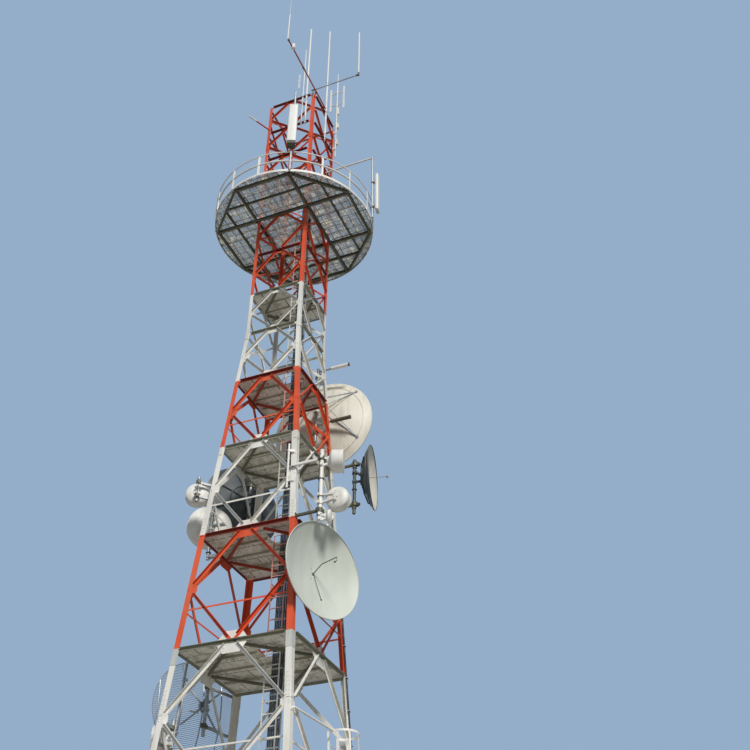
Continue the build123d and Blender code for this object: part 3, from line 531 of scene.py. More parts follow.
def brace_end(upper):
    """How far inside a leg's corner the bracing ends."""
    return LEG_THICK[upper] + BRACE_THICK + BRACE[upper] + LEG_CLEAR


def diagonals(panel):
    """Level, start and end of a panel's diagonals on their face, as (along, height) points."""
    upper = panel >= KINK_PANEL
    wide, joint = BRACE[upper], leg_joint(panel)
    side = half(joint) - brace_end(upper)
    bars = []
    for sign in (-1, 1):
        for level, rise in ((panel, 1), (panel + 1, -1)) if panel else ((1, -1),):
            start = Vector((sign * wide * 0.6, LEVELS[level]))
            bars.append((level, start, Vector((sign * side, joint - rise * wide * 0.55))))
    return bars


def bracing(name, turn, upper, pale):
    """One face's bracing: angles with an upper flange standing out, on gussets and leg plates.

    The gussets at the tops of the white bands are white above and below, and go into pale.
    """
    wide, sunk, inset = BRACE[upper], LEG_THICK[upper] + FIT_GAP, brace_end(upper)
    shape = Shape()

    def member(start, end, size, trims=None):
        """A flat strip, with a standing flange where trims says how much shorter it is."""
        way = face_way(turn, (start[1] + end[1]) / 2)
        low, high = [face_point(turn, x, z, -sunk - BRACE_THICK / 2) for x, z in (start, end)]
        shape.bar(low, high, size, BRACE_THICK, way)
        if trims:
            run = (high - low).normalized()
            across = way.cross(run)
            lift = across * (size - BRACE_THICK) / 2 * (1 if across.z > 0 else -1)
            lift += way * (BRACE_THICK + BRACE_STAND) / 2
            ends = (low + run * trims[0] + lift, high - run * trims[1] + lift)
            shape.bar(*ends, BRACE_THICK, BRACE_STAND, way)

    def level_member(z, size, trims=None):
        side = half(z if trims is None else z + size / 2) - inset
        member((-side, z), (side, z), size, trims)

    def plate(corners, into):
        depths = (sunk + BRACE_THICK, sunk + 2 * BRACE_THICK)
        into.loft([[face_point(turn, x, z, -depth) for x, z in corners] for depth in depths])

    for panel in range(KINK_PANEL, len(LEVELS) - 1) if upper else range(KINK_PANEL):
        top, joint = LEVELS[panel + 1], leg_joint(panel)
        for _, start, end in diagonals(panel):
            member(start, end, wide, (1.6 * wide, 1.1 * wide))
            if panel == 0:
                inner = start + (end - start) * (top - BASE_STRUT) / (top - BASE_JOINT)
                edge = half(BASE_STRUT) - inset
                member(inner, (edge if inner[0] > 0 else -edge, inner[1]), SUB_STRUT)
        level_member(top - wide / 2, wide, (LEVEL_TRIM, LEVEL_TRIM))
        if panel in SUB_STRUT_PANELS:
            level_member(LEVELS[panel] + SUB_STRUT_SHARE * (top - LEVELS[panel]), SUB_STRUT)
        gusset = gusset_wide(panel + 1)
        corners = [(x * gusset, top - wide / 2 + y * gusset * GUSSET_TALL) for x, y in GUSSET_CORNERS]
        plate(corners, pale if panel + 1 in WHITE_GUSSETS else shape)
        across, tall = LEG_PLATE[upper]
        edge = half(joint) - LEG_PLATE_EDGE
        for sign in (-1, 1):
            plate([(sign * (edge + x * across), joint + y * tall) for x, y in LEG_PLATE_CORNERS], shape)
    shape.piece(f"{name}_angles", "banded_paint", [f"{name}_bracing"])


def panel_bolts(shape, turn, panel):
    """The bolts of one panel's bracing, with heads outside and nuts inside, and those of its legs."""
    upper = panel >= KINK_PANEL
    wide, size, joint = BRACE[upper], LATTICE_BOLT[upper], leg_joint(panel)
    z = LEVELS[panel + 1] - wide / 2
    spots = [(share * gusset_wide(panel + 1), z) for share in (-0.42, -0.3, 0.3, 0.42)]
    for level, start, end in diagonals(panel):
        run = end - start
        spread = gusset_wide(level) * 0.45 / run.length
        shares = [spread * k for k in (0.45, 0.7, 0.95)]
        shares += [1 - wide * k / run.length for k in (0.3, 0.9, 1.5)]
        spots += [start + run * share for share in shares]
    sunk = LEG_THICK[upper] + FIT_GAP
    for along, z in spots:
        way = face_way(turn, z)
        shape.bolt(face_point(turn, along, z, -sunk), way, size)
        shape.bolt(face_point(turn, along, z, -sunk - 2 * BRACE_THICK), -way, size)
    for sign in (-1, 1):
        for z in (joint - 0.3 * wide, joint + 0.3 * wide):
            shape.bolt(face_point(turn, sign * (half(z) - LEG_BOLT_IN), z), face_way(turn, z), size)


def lattice():
    """The bracing of the four faces, its bolts, and the white gussets at the bands' tops."""
    white_gussets = Shape()
    for name, turn in TURNS.items():
        bracing(f"{name}_lower", turn, False, white_gussets)
        bracing(f"{name}_upper", turn, True, white_gussets)
    white_gussets.piece("white_gussets", "white_paint")
    for name, turn in TURNS.items():
        shape = Shape()
        for panel in range(len(LEVELS) - 1):
            panel_bolts(shape, turn, panel)
        shape.piece(f"{name}_bracing_bolts", "banded_paint")


# Height and length of the legs' splices, their width below and above the kink, and their place
SPLICES = ((5.2, 0.7), (9.6, 0.62), (14.1, 0.55), (16.55, 0.5), (KINK, 0.42), (24.6, 0.34), (29.1, 0.3))
SPLICE_WIDE = {False: 0.1, True: 0.085}
SPLICE_THICK, SPLICE_OUT, SPLICE_EDGE, SPLICE_ROWS = 0.010, 0.0055, 0.008, 6


def leg_splices():
    """Splice plates over the joints of the legs, with their bolts."""
    shape = Shape()
    for z, tall in SPLICES:
        wide = SPLICE_WIDE[z >= KINK]
        for turn in TURNS.values():
            way = face_way(turn, z)
            for sign in (-1, 1):
                heights = (z - tall / 2, z + tall / 2)
                alongs = [sign * (half(h) - wide / 2 - SPLICE_EDGE) for h in heights]
                low, high = [face_point(turn, u, h, SPLICE_OUT) for u, h in zip(alongs, heights)]
                shape.bar(low, high, wide, SPLICE_THICK, way)
                across = (high - low).cross(way).normalized() * wide / 4
                for n in range(SPLICE_ROWS):
                    spot = low + (high - low) * (n + 0.5) / SPLICE_ROWS + way * SPLICE_THICK / 2
                    shape.bolt(spot - across, way, 0.011)
                    shape.bolt(spot + across, way, 0.011)
    shape.piece("leg_splices", "banded_paint")


def sleeves():
    """Grey repair sleeves round the tops of the legs' white band at the second platform."""
    shape = Shape()
    for turn in TURNS.values():
        for sign in (-1, 1):
            heights = (LEVELS[3] - 0.40, LEVELS[3] - 0.01)
            ends = [face_point(turn, sign * (half(z) - 0.078), z, 0.004) for z in heights]
            shape.bar(*ends, 0.152, 0.008, face_way(turn, LEVELS[3]))
    shape.piece("leg_sleeves", "drum_grey")


FOOT_THICK, FOOT_BOLT_AT = 0.030, 0.15
WASHER, NUT = [(0.034, 0), (0.034, 0.005)], [(0.026, 0), (0.026, 0.022), (0.022, 0.025)]
STUD = [(0.015, 0), (0.015, 0.085), (0.012, 0.09)]


def anchor_bolts():
    """Nuts, washers and bolt ends on the four base plates."""
    shape = Shape()
    for x, y in square(BASE_HALF):
        for dx, dy in square(FOOT_BOLT_AT):
            spot = at(x + dx, y + dy, FOOT_THICK)
            shape.lathe(spot, UP, WASHER, 24)
            for low in (0.005, 0.032):
                shape.lathe(spot + UP * low, UP, NUT, 6)
            shape.lathe(spot, UP, STUD, 16)
    shape.piece("anchor_bolts", "galvanized")


# Round platform

HATCH = (0.25, 0.7763, -0.78, -0.2977)
LEG_HOLE, GRATE_RADIUS, STRIP_PITCH = 0.12, 2.515, 0.235
# Whether each layer of the grating runs along Y, its pitch, width, depth and height above the beams
LAYERS = (
    (False, 0.030, 0.006, 0.020, 0.0135),
    (True, 0.075, 0.008, 0.006, 0.0200),
    (False, STRIP_PITCH, 0.026, 0.003, 0.0050),
    (True, STRIP_PITCH, 0.026, 0.003, 0.0020),
)


def clear_runs(low, high, blocked):
    """The stretches from low to high that no blocked stretch covers."""
    runs = [(low, high)]
    for start, end in blocked:
        cuts = [cut for a, b in runs for cut in ((a, min(b, start)), (max(a, end), b))]
        runs = [(a, b) for a, b in cuts if b - a > 0.01]
    return runs


def grating():
    """Bars, rods and pale strips of the open grating, round its hatch and the legs."""
    mesh, strips = Shape(), Shape()
    holes = [HATCH] + [(x - LEG_HOLE, x + LEG_HOLE, y - LEG_HOLE, y + LEG_HOLE) for x, y in square(TOP_HALF)]
    for along_y, pitch, thick, deep, z in LAYERS:
        shape = strips if pitch == STRIP_PITCH else mesh
        crossed = [hole[2:] + hole[:2] if along_y else hole for hole in holes]
        rows = int(GRATE_RADIUS / pitch)
        for n in range(-rows, rows):
            v = (n + 0.5) * pitch
            reach = sqrt(GRATE_RADIUS**2 - v**2)
            for a, b in clear_runs(-reach, reach, [hole[:2] for hole in crossed if hole[2] < v < hole[3]]):
                ends = [(v, a), (v, b)] if along_y else [(a, v), (b, v)]
                shape.bar(*[at(x, y, DECK + z) for x, y in ends], thick, deep)
    mesh.piece("deck_grating", "deck_steel", smooth=False)
    strips.piece("deck_strips", "white_paint", smooth=False)


# Rails, kick strip and posts, from the deck and from the axis
RAIL_OUT, MID_TUBE, TOP_TUBE = 2.5970, 0.030, 0.020
RAIL_MID, RAIL_HIGH = 0.42 + 0.019, 0.82 + 0.019
KICK_IN, KICK_OUT, KICK_REACH = 2.5606, 2.5680, 0.045
POSTS, POST_AT, POST_WIDE, POST_THICK = 16, 2.571, 0.070, 0.006


def railing():
    """Bent tube rails, kick strip and angle posts of the round platform."""
    shape = Shape()
    for z, tube in ((RAIL_MID, MID_TUBE), (RAIL_HIGH, TOP_TUBE)):
        shape.ring(at(0, 0, DECK + z), UP, RAIL_OUT - tube, tube)
    shape.collar(at(0, 0, DECK), UP, KICK_IN, KICK_OUT, KICK_REACH, 96)
    for n in range(POSTS):
        way = aim(360 * n / POSTS)
        across = way.cross(UP)
        foot = at(0, 0, DECK - KICK_REACH) + way * POST_AT
        head = foot + UP * (RAIL_HIGH + KICK_REACH)
        flange = way * 0.013 + across * 0.032
        shape.bar(foot, head, POST_WIDE, POST_THICK, way)
        shape.bar(foot + flange, head + flange, POST_THICK, 0.024, way)
        for z in (0.015, 0.07):
            shape.bolt(foot + way * 0.003 - across * 0.006 + UP * z, way, 0.009)
        for z in (RAIL_MID, RAIL_HIGH):
            shape.bar(foot + UP * (z + 0.02), foot + UP * (z + 0.07), 0.05, 0.012, way)
    shape.piece("round_rail_tubes", "white_paint", ["round_platform_railing"])


OCTAGON = 2.485
MAIN_BEAM, MAIN_AT = (0.060, 0.105), TOP_HALF + 0.0353
SECOND_BEAM, SECOND_AT = (0.045, 0.075), 1.65
CLEAT_DROP, CLEAT_IN = 0.055, 0.07
CLIP_PITCH, CLIP_RADIUS, CLIP_SIDE = 0.27, 2.2, 0.04


def deck_beams():
    """Rolled beams under the round platform: an eight-sided edge, four main beams and four lighter ones."""
    shape = Shape()
    corners = [at(0, 0, DECK) + aim(22.5 + 45 * n) * OCTAGON for n in range(8)]
    for n in range(8):
        shape.beam(corners[n - 1], corners[n], *MAIN_BEAM)
    flat = OCTAGON * cos(radians(22.5))
    for offset, size in ((MAIN_AT, MAIN_BEAM), (SECOND_AT, SECOND_BEAM)):
        reach = min(flat, flat * sqrt(2) - offset) - 0.02
        for v in (-offset, offset):
            shape.beam(at(-reach, v, DECK), at(reach, v, DECK), *size)
            shape.beam(at(v, -reach, DECK), at(v, reach, DECK), *size)
    for x, y in square(TOP_HALF):
        for out, inwards in ((Vector((0, y, 0)), Vector((x, 0, 0))), (Vector((x, 0, 0)), Vector((0, y, 0)))):
            out.normalize()
            spot = at(x, y, DECK - CLEAT_DROP) - inwards * CLEAT_IN
            shape.bar(spot, spot + out * 0.031, 0.09, 0.10)
            for height in (-0.025, 0.025):
                shape.bolt(spot - out * 0.028 + UP * height, -out, 0.012)
    shape.piece("deck_beams", "beam_paint", ["round_platform_frame"])


def deck_clips():
    """Hook clips and bolts that hold the grating to the beams beneath it."""
    shape = Shape()
    for offset in (-MAIN_AT, MAIN_AT, -SECOND_AT, SECOND_AT):
        for along in [n * CLIP_PITCH for n in range(-8, 9)]:
            if hypot(along, offset) > CLIP_RADIUS:
                continue
            for x, y in ((along, offset), (offset, along)):
                spot = at(x + CLIP_SIDE, y + CLIP_SIDE, DECK - 0.012)
                shape.bolt(spot, -UP, 0.014)
                shape.block(spot + UP * 0.006, RIGHT * 0.03, 0.05, 0.008)
    shape.piece("deck_clips", "galvanized")


# Reflectors


class Dish:
    """A round reflector's sizes: its rim's centre, azimuth, radius, depth, and its pipe's place."""

    def __init__(self, place, azimuth, radius, depth, pipe):
        self.centre, self.way = at(*place), aim(azimuth)
        self.side = self.way.cross(UP)
        self.radius, self.depth, self.pipe = radius, depth, pipe
        self.vertex = self.centre - self.way * depth

    def behind(self, r):
        """Distance of the paraboloid behind its rim, at a radius, as a negative number."""
        return -self.depth * (1 - (r / self.radius) ** 2)

    def spot(self, offset, lift=0.0):
        """A point over the surface, at an offset from the axis and lifted forwards."""
        return self.centre + offset + self.way * (self.behind(offset.length) + lift)


FRONT_DISH = Dish((1.930, -0.920, 12.490), 339, 1.190, 0.340, FRONT_PIPE)
BACK_DISH = Dish((0.520, 1.700, 18.640), 90, 1.550, 0.400, BACK_PIPE)
SIDE_DISH = Dish((2.200, 1.450, 16.350), 14, 0.900, 0.260, SIDE_PIPE)
FAR_DISH = Dish((-1.650, 1.150, 16.100), 150, 1.200, 0.320, FAR_PIPE)
GRID_DISH = Dish((-2.200, 0.850, 10.300), 150, 1.200, 0.300, GRID_PIPE)
DISH_ROWS, DISH_WALL, LINING = 14, 0.009, 0.004
RIM = ((0.008, -0.006), (0.010, 0.008), (0.008, 0.020), (0, 0.025), (-0.004, 0.012))
BAND_SHARE, EDGE_SHARE, RIB_SPANS = 0.45, 0.86, ((0.08, 0.45), (0.45, 0.80))


def carry(shape, pipe, behind, tall, radius=PIPE, facing=None):
    """The frame between a dish or drum and its pipe: two clamps, an upright and struts.

    The clamps' ears look along facing, or from the pipe to the dish.
    """
    middle = at(*pipe, behind.z)
    towards = (behind - middle).normalized()
    reach = facing or towards
    ear = reach.cross(UP) * (radius + 0.03)
    for offset in (-tall / 2, tall / 2):
        level = middle + UP * offset
        shape.collar(level, UP, radius + 0.001, radius + 0.018, 0.045)
        for lug in (level - ear, level + ear):
            shape.block(lug, reach * 0.03, 0.03, 0.07)
            shape.bolt(lug + reach * 0.03, reach, 0.011)
        shape.bar(level + reach * (radius + 0.01), behind + UP * offset * 0.6, 0.06, 0.05)
    shape.block(behind, UP * tall * 0.625, 0.09, 0.05, towards)


def reflector(name, slot, dish, tall=0.30, ribs=8, face_slot=None):
    """A spun dish with a rolled rim, a back ring, ribs and the clamps on its pipe."""
    centre, way, radius, depth = dish.centre, dish.way, dish.radius, dish.depth
    inner = [(radius * n / DISH_ROWS, dish.behind(radius * n / DISH_ROWS)) for n in range(DISH_ROWS + 1)]
    outer = [(r, d - DISH_WALL) for r, d in inner]
    shape = Shape()
    shape.lathe(centre, way, outer + [(radius + dr, d) for dr, d in RIM] + inner[::-1], 96)
    if ribs:
        band_r = radius * BAND_SHARE
        band = ((-0.02, -0.045), (0.02, -0.045), (0.02, -0.003), (-0.02, -0.006))
        shape.lathe(centre, way, [(band_r + dr, dish.behind(band_r) + d) for dr, d in band], 96, closed=True)
    edge_r = radius * EDGE_SHARE
    shape.ring(centre + way * (dish.behind(edge_r) - 0.014), way, edge_r, 0.013)
    for spoke in spokes(way, ribs, 0.5):
        for span in RIB_SPANS:
            shape.bar(*[dish.spot(spoke * radius * share, -0.046) for share in span], 0.012, 0.04, way)
    hub = [(0.0, -depth - 0.05), (0.16, -depth - 0.05), (0.18, -depth - 0.035), (0.18, -depth)]
    shape.lathe(centre, way, hub, 48)
    for spoke in spokes(way, 8):
        shape.bolt(dish.vertex + spoke * 0.15 - way * 0.05, -way, 0.014)
    carry(shape, dish.pipe, dish.vertex - way * 0.04, tall, facing=way if ribs else None)
    shape.piece(f"{name}_shell", slot, [name])
    if face_slot:
        face = Shape()
        lining = [(r, d + LINING) for r, d in inner]
        face.lathe(centre, way, lining + [(r, d - 0.003) for r, d in lining[::-1]], 96)
        face.piece(f"{name}_face", face_slot)


def front_feed():
    """The bent feed line of the front dish, its horn, and a thin dark rod that stands in for the feed's
    shadow on the face.
    """
    way, side, vertex = FRONT_DISH.way, FRONT_DISH.side, FRONT_DISH.vertex
    knee = vertex + way * 0.286 + UP * 0.160
    mouth = vertex + way * 0.790 + UP * 0.167
    hook = mouth - UP * 0.10
    # A painted shadow: a thin dark rod runs from the vertex down along the face where the feed's shadow
    # falls, ending in a small disc
    low = vertex + way * 0.115 - side * 0.191 - UP * 0.622
    shape = Shape()
    shape.tube([vertex, knee, mouth], 0.012)
    shape.tube([mouth - way * 0.01, hook, hook - way * 0.05], 0.009)
    shape.lathe(hook - way * 0.05, -way, [(0.009, -0.01), (0.022, 0), (0.026, 0.02), (0.026, 0.026)], 20)
    shape.lathe(vertex, way, [(0.040, 0), (0.040, 0.012), (0.020, 0.03)], 32)
    shape.tube([vertex + way * 0.02, low], 0.007)
    shape.lathe(low - way * 0.010, way, [(0.020, 0), (0.020, 0.02)], 16)
    shape.piece("front_dish_feed", "beam_paint")


# Place of each stay's end across and above the back dish's centre, with its roots' heights and radii
BACK_STAYS = (
    (1.07, 0.96, ((19.14, 0.022), (18.89, 0.012))),
    (1.14, -0.69, ((18.83, 0.011), (18.51, 0.026))),
)


def dish_struts():
    """Feeds and stays of the other dishes."""
    shape = Shape()
    for dish, beyond in ((SIDE_DISH, 0.40), (FAR_DISH, 0.22)):
        mouth = dish.centre + dish.way * beyond
        shape.tube([dish.vertex, mouth], 0.010)
        shape.lathe(mouth, dish.way, [(0.018, -0.02), (0.04, 0), (0.045, 0.03), (0.02, 0.04)], 20)
        shape.tube([mouth, mouth - UP * 0.05], 0.012)
    for across, height, roots in BACK_STAYS:
        tip = BACK_DISH.spot(BACK_DISH.side * across + UP * height, -0.02)
        for z, thick in roots:
            shape.tube([at(half(z) - 0.07, half(z) + 0.03, z), tip], thick)
        shape.lathe(tip - BACK_DISH.way * 0.02, BACK_DISH.way, [(0.05, 0), (0.05, 0.03)], 20)
    shape.piece("dish_feeds_and_stays", "galvanized")


GRID_PITCH, GRID_STEPS, GRID_RIBS = 0.044, 14, (-0.9, -0.45, 0.0, 0.45, 0.9)


def grid_dish():
    """A reflector of fine level bars on curved ribs, with a rim, a back frame and its feed."""
    dish, shape = GRID_DISH, Shape()
    centre, way, side, radius = dish.centre, dish.way, dish.side, dish.radius
    shares = [2 * k / GRID_STEPS - 1 for k in range(GRID_STEPS + 1)]
    rows = int(radius / GRID_PITCH)
    for v in [n * GRID_PITCH for n in range(-rows, rows + 1)]:
        reach = sqrt(max(radius**2 - v**2, 0.02))
        shape.tube([dish.spot(side * reach * share + UP * v) for share in shares], 0.0075, 4)
    for u in [radius * share for share in GRID_RIBS]:
        reach = sqrt(radius**2 - u**2)
        shape.tube([dish.spot(side * u + UP * reach * share, -0.014) for share in shares], 0.016, 6)
    shape.ring(centre, way, radius - 0.005, 0.014, 72, 6)
    back = dish.vertex - way * 0.05
    for spoke in spokes(way, 4, 0.5):
        shape.bar(back, dish.spot(spoke * radius * 0.6, -0.035), 0.035, 0.035)
    shape.lathe(dish.vertex, way, [(0.0, -0.07), (0.13, -0.07), (0.13, -0.01), (0.0, 0)], 32)
    carry(shape, dish.pipe, back, 0.20)
    mouth = centre + way * 0.12
    shape.tube([dish.vertex, mouth], 0.014)
    shape.block(mouth, side * 0.12, 0.02, 0.03)
    shape.piece("grid_reflector", "grid_metal", ["grid_antenna"])


# Drums: centre, azimuth, radius, length, pipe and its radius

DRUMS = {
    "right_drum_upper": ((2.300, -1.150, 15.280), 20, 0.300, 0.360, MAST_PIPE, MAST),
    "right_drum_lower": ((2.350, -1.130, 14.200), 95, 0.300, 0.300, MAST_PIPE, MAST),
    "right_drum_small": ((2.160, -1.200, 13.700), 20, 0.180, 0.110, MAST_PIPE, MAST),
    "left_drum_small": ((-1.650, -1.150, 15.200), 122, 0.300, 0.300, LEFT_PIPE, PIPE),
    "left_drum_big": ((-1.850, -0.060, 14.875), 130, 0.600, 0.350, BIG_PIPE, PIPE),
    "left_drum_low": ((-2.000, -0.880, 9.050), 205, 0.300, 0.300, LOW_PIPE, PIPE),
}
DRUM_BACK, DRUM_FLAT, DRUM_DOME = 0.25, 0.45, 0.055


def drum(name, place, azimuth, radius, length, pipe, pipe_radius):
    """A shrouded antenna: domed cover in a band clamp, shroud, spun back, hub and clamps."""
    centre, way = at(*place), aim(azimuth)
    front, rear, shroud = length / 2, -length / 2, radius - 0.006
    hub, back = min(0.06, radius * 0.4), radius * DRUM_BACK
    shares = (0.62, 0.78, 0.9, 0.97)
    outline = [(0.0, rear - 0.045), (hub, rear - 0.045), (hub, rear), (radius * DRUM_FLAT, rear)]
    outline += [(radius * k, rear + back * ((k - DRUM_FLAT) / (1 - DRUM_FLAT)) ** 2) for k in shares]
    outline += [(shroud, rear + back), (shroud, front - 0.035)]
    outline += [(radius, front - 0.035), (radius, front - 0.008), (radius - 0.010, front)]
    outline += [(radius * k, front + radius * DRUM_DOME * (1 - k * k)) for k in (0.9, 0.75, 0.55, 0.3, 0.0)]
    shape = Shape()
    shape.lathe(centre, way, outline, 64)
    for spoke in spokes(way, 6):
        shape.bolt(centre + spoke * radius * 0.38 + way * rear, -way, 0.012)
        grip = centre + spoke * radius + way * (front - 0.025)
        shape.block(grip, way * 0.015, 0.03, 0.014, spoke)
    carry(shape, pipe, centre + way * (rear - 0.02), radius * 0.7, pipe_radius)
    shape.piece(f"{name}_body", "drum_white", [name])


# Panel antennas

PANEL_PIPE, PANEL_STANDOFF = 0.030, 0.120
PANEL_REACH = 2.5983 + FIT_GAP + PANEL_PIPE
PANEL_END = ((0, 0.92), (0.008, 1), (0.05, 1), (0.052, 0.97))
BRACKET_SHARES = (0.15, 0.85)


def rounded(wide, deep, corner, steps=4):
    """A rectangle with round corners, as (across, out) pairs."""
    points = []
    for n, (sx, sy) in enumerate(((1, 1), (-1, 1), (-1, -1), (1, -1))):
        for k in range(steps + 1):
            t = radians(90 * (n + k / steps))
            x, y = sx * (wide / 2 - corner), sy * (deep / 2 - corner)
            points.append((x + corner * cos(t), y + corner * sin(t)))
    return points


def panel(name, angle, high, panel_low, size, link):
    """A panel antenna on its pipe, with end caps, sockets and brackets, and a link or a base."""
    wide, deep, tall = size
    way = aim(angle)
    across = UP.cross(way)
    low = DECK - 0.05
    foot = at(0, 0, 0) + way * PANEL_REACH
    middle = foot + way * (PANEL_STANDOFF + deep / 2)
    ends = [*PANEL_END, *[(tall - z, shrink) for z, shrink in PANEL_END[::-1]]]
    radome, rings = Shape(), []
    for z, shrink in ends:
        outline = rounded(wide * shrink, deep * shrink, deep * 0.32)
        rings.append([middle + across * u + way * v + UP * (panel_low + z) for u, v in outline])
    radome.loft(rings)
    radome.piece(f"{name}_radome", "radome_white", [name])
    shape = Shape()
    shape.tube([foot + UP * low, foot + UP * high], PANEL_PIPE, 20)
    shape.lathe(foot + UP * (high - 0.01), UP, [(0.033, 0), (0.033, 0.008), (0.02, 0.01)], 20)
    for share in BRACKET_SHARES:
        z = UP * (panel_low + share * tall)
        shape.collar(foot + z, UP, 0.031, 0.044, 0.04, 24)
        back = middle - way * deep / 2
        for side in (across * -0.05, across * 0.05):
            shape.bar(foot + way * 0.03 + side + z, back + side + z, 0.006, 0.08)
            shape.bolt(foot + side + z, -way, 0.012)
        shape.block(foot + way * 0.045 + z, across * 0.08, 0.02, 0.08)
    for u in (-0.08, -0.03, 0.03, 0.08):
        socket = [(0.016, 0), (0.016, 0.03), (0.011, 0.034), (0.011, 0.055)]
        shape.lathe(middle + across * u + UP * panel_low, -UP, socket, 16)
    for z in [low + 0.1 + n * 0.24 for n in range(4)]:
        shape.bar(foot - way * 0.02 + UP * z, foot - way * 0.028 + UP * (z + 0.04), 0.09, 0.02, way)
    shape.piece(f"{name}_fittings", "galvanized")
    extra = Shape()
    if link:
        z = LEVELS[12] - BRACE[True] / 2
        start = at(TOP_HALF + 0.012, foot.y - AXIS.y, z)
        extra.tube([start, foot + UP * z], 0.030, 16)
        extra.block(start, UP * 0.04, 0.12, 0.02, RIGHT)
        extra.piece(f"{name}_link", "white_paint")
    else:
        z = UP * (panel_low - 0.085)
        extra.bar(foot + z, middle + way * deep * 0.45 + z, 0.25, 0.055)
        extra.collar(foot + z, UP, 0.031, 0.050, 0.07, 24)
        for u in (-0.08, 0.08):
            for v in (0.05, 0.10):
                extra.bolt(foot + across * u + way * v + z - UP * 0.0275, -UP, 0.012)
        extra.piece(f"{name}_base", "beam_paint")


# Whips: face, place along it, distance out, radius, top and the height of a joint

WHIPS = (
    (0, 0.590, 0.905, 0.032, 35.390, None),
    (0, 0.440, 0.905, 0.022, 34.120, None),
    (90, 0.020, 0.920, 0.036, 36.360, 33.05),
)
WHIP_LOW = LEVELS[13] - 0.070
WHIP_PLUG = [(0.016, 0), (0.016, 0.035), (0.007, 0.04), (0.007, 0.11)]


def whips():
    """Fibreglass whips with ferrules, tapered joints, tips and clamps."""
    glass, metal = Shape(), Shape()
    for turn, along, out, radius, top, joint in WHIPS:
        spot = AXIS + turned(turn, along, -out)
        slim, outline = radius, [(radius, WHIP_LOW)]
        if joint:
            slim = radius * 0.84
            outline += [(radius, joint), (slim, joint + 0.02)]
            metal.ferrule(spot, radius, joint - 0.08, joint + 0.03)
        outline += [(slim, top - 0.06), (slim * 0.7, top - 0.02), (0, top)]
        glass.lathe(spot, UP, outline, 20)
        metal.ferrule(spot, radius, WHIP_LOW - 0.05, WHIP_LOW + 0.34)
        metal.lathe(spot + UP * (WHIP_LOW - 0.05), -UP, WHIP_PLUG, 12)
        for z in (LEVELS[13] - BRACE[True] / 2, LEVELS[14] - BRACE[True] / 2):
            reach = out - TOP_HALF - radius
            metal.u_bolt(face_point(turn, along, z, reach - 0.012), turned(turn, 0, -1), radius)
            metal.bar(face_point(turn, along, z, -0.010), face_point(turn, along, z, reach), 0.05, 0.05)
    glass.piece("whip_rods", "radome_white", ["whips"])
    metal.piece("whip_clamps", "galvanized")


# Dipoles

MAST_X, MAST_Y, MAST_RADIUS = 0.925, 0.905, 0.026
WHIP_X, WHIP_Y = 0.440, -0.905
DIPOLE_GAP = 0.020
DIPOLE_BOXES = ((32.30, 0.11, 0.09, 0.36), (31.50, 0.14, 0.10, 0.24), (30.55, 0.13, 0.10, 0.26))


def folded_dipole(shape, x, y, low, high, radius, sides, block):
    """Two close upright tubes joined at their ends, with a block of half a height, a width and a depth."""
    for offset in (-DIPOLE_GAP, DIPOLE_GAP):
        shape.upright(x + offset, y, low, high, radius, sides)
    for z in (low, high):
        shape.tube([at(x - DIPOLE_GAP, y, z), at(x + DIPOLE_GAP, y, z)], radius, sides)
    tall, wide, deep = block
    shape.block(at(x, y, (low + high) / 2), UP * tall, wide, deep, BACK)


def whip_dipole():
    """A small folded dipole held out from the thinner whip."""
    shape = Shape()
    x, y, low, high = 0.340, -1.060, 31.62, 32.42
    middle = (low + high) / 2
    folded_dipole(shape, x, y, low, high, 0.010, 8, (0.04, 0.06, 0.03))
    shape.tube([at(x, y, middle), at(WHIP_X, WHIP_Y, middle)], 0.012, 10)
    shape.ferrule(at(WHIP_X, WHIP_Y, 0), 0.022, middle - 0.05, middle + 0.05)
    shape.piece("whip_dipole", "white_paint")


def dipoles():
    """The mast on the back right leg with two folded dipoles and its clamps."""
    shape = Shape()
    x, y = MAST_X, MAST_Y
    shape.upright(x, y, 29.8, 34.3, MAST_RADIUS, 16)
    shape.upright(x, y, 34.3, 34.72, 0.016, 12)
    for z in (33.55, 32.78, 31.9, 30.2, 29.95):
        shape.ferrule(at(x, y, 0), 0.027, z - 0.06, z + 0.06)
    for tip in (0.660, 1.190):
        folded_dipole(shape, tip, y, 32.52, 33.84, 0.016, 10, (0.05, 0.07, 0.035))
        for root_z, tip_z in ((33.55, 33.48), (32.78, 32.86)):
            shape.tube([at(x, y, root_z), at(tip, y, tip_z)], 0.020, 10)
    for z in (30.2, 31.1):
        shape.bar(at(TOP_HALF + 0.001, 0.830, z), at(0.884, 0.830, z), 0.06, 0.12)
        shape.bar(at(0.884, 0.830, z), at(0.915, 0.888, z), 0.04, 0.04)
        shape.u_bolt(at(x - 0.034, y - 0.012, z), RIGHT, MAST_RADIUS)
    shape.piece("dipole_array", "white_paint", ["dipole_mast"])


def dipole_boxes():
    """Splitter boxes with lids and sockets on the dipole mast."""
    shape = Shape()
    x, y = MAST_X, MAST_Y
    for z, wide, deep, tall in DIPOLE_BOXES:
        for grow, low, high in ((1, 0.0, 1.0), (1.08, 0.92, 1.04)):
            outline = [(x + 0.005 + u, y + 0.07 + v) for u, v in rounded(wide * grow, deep * grow, 0.012)]
            shape.loft([[at(u, v, z + tall * share) for u, v in outline] for share in (low, high)])
        shape.bar(at(x, y + 0.005, z + tall * 0.5), at(x, y + 0.03, z + tall * 0.5), 0.05, 0.05)
        for u in (-0.025, 0.025):
            shape.upright(x + u, y + 0.07, z, z - 0.05, 0.010, 10)
    shape.piece("dipole_boxes", "drum_white")


# Booms and the short pole

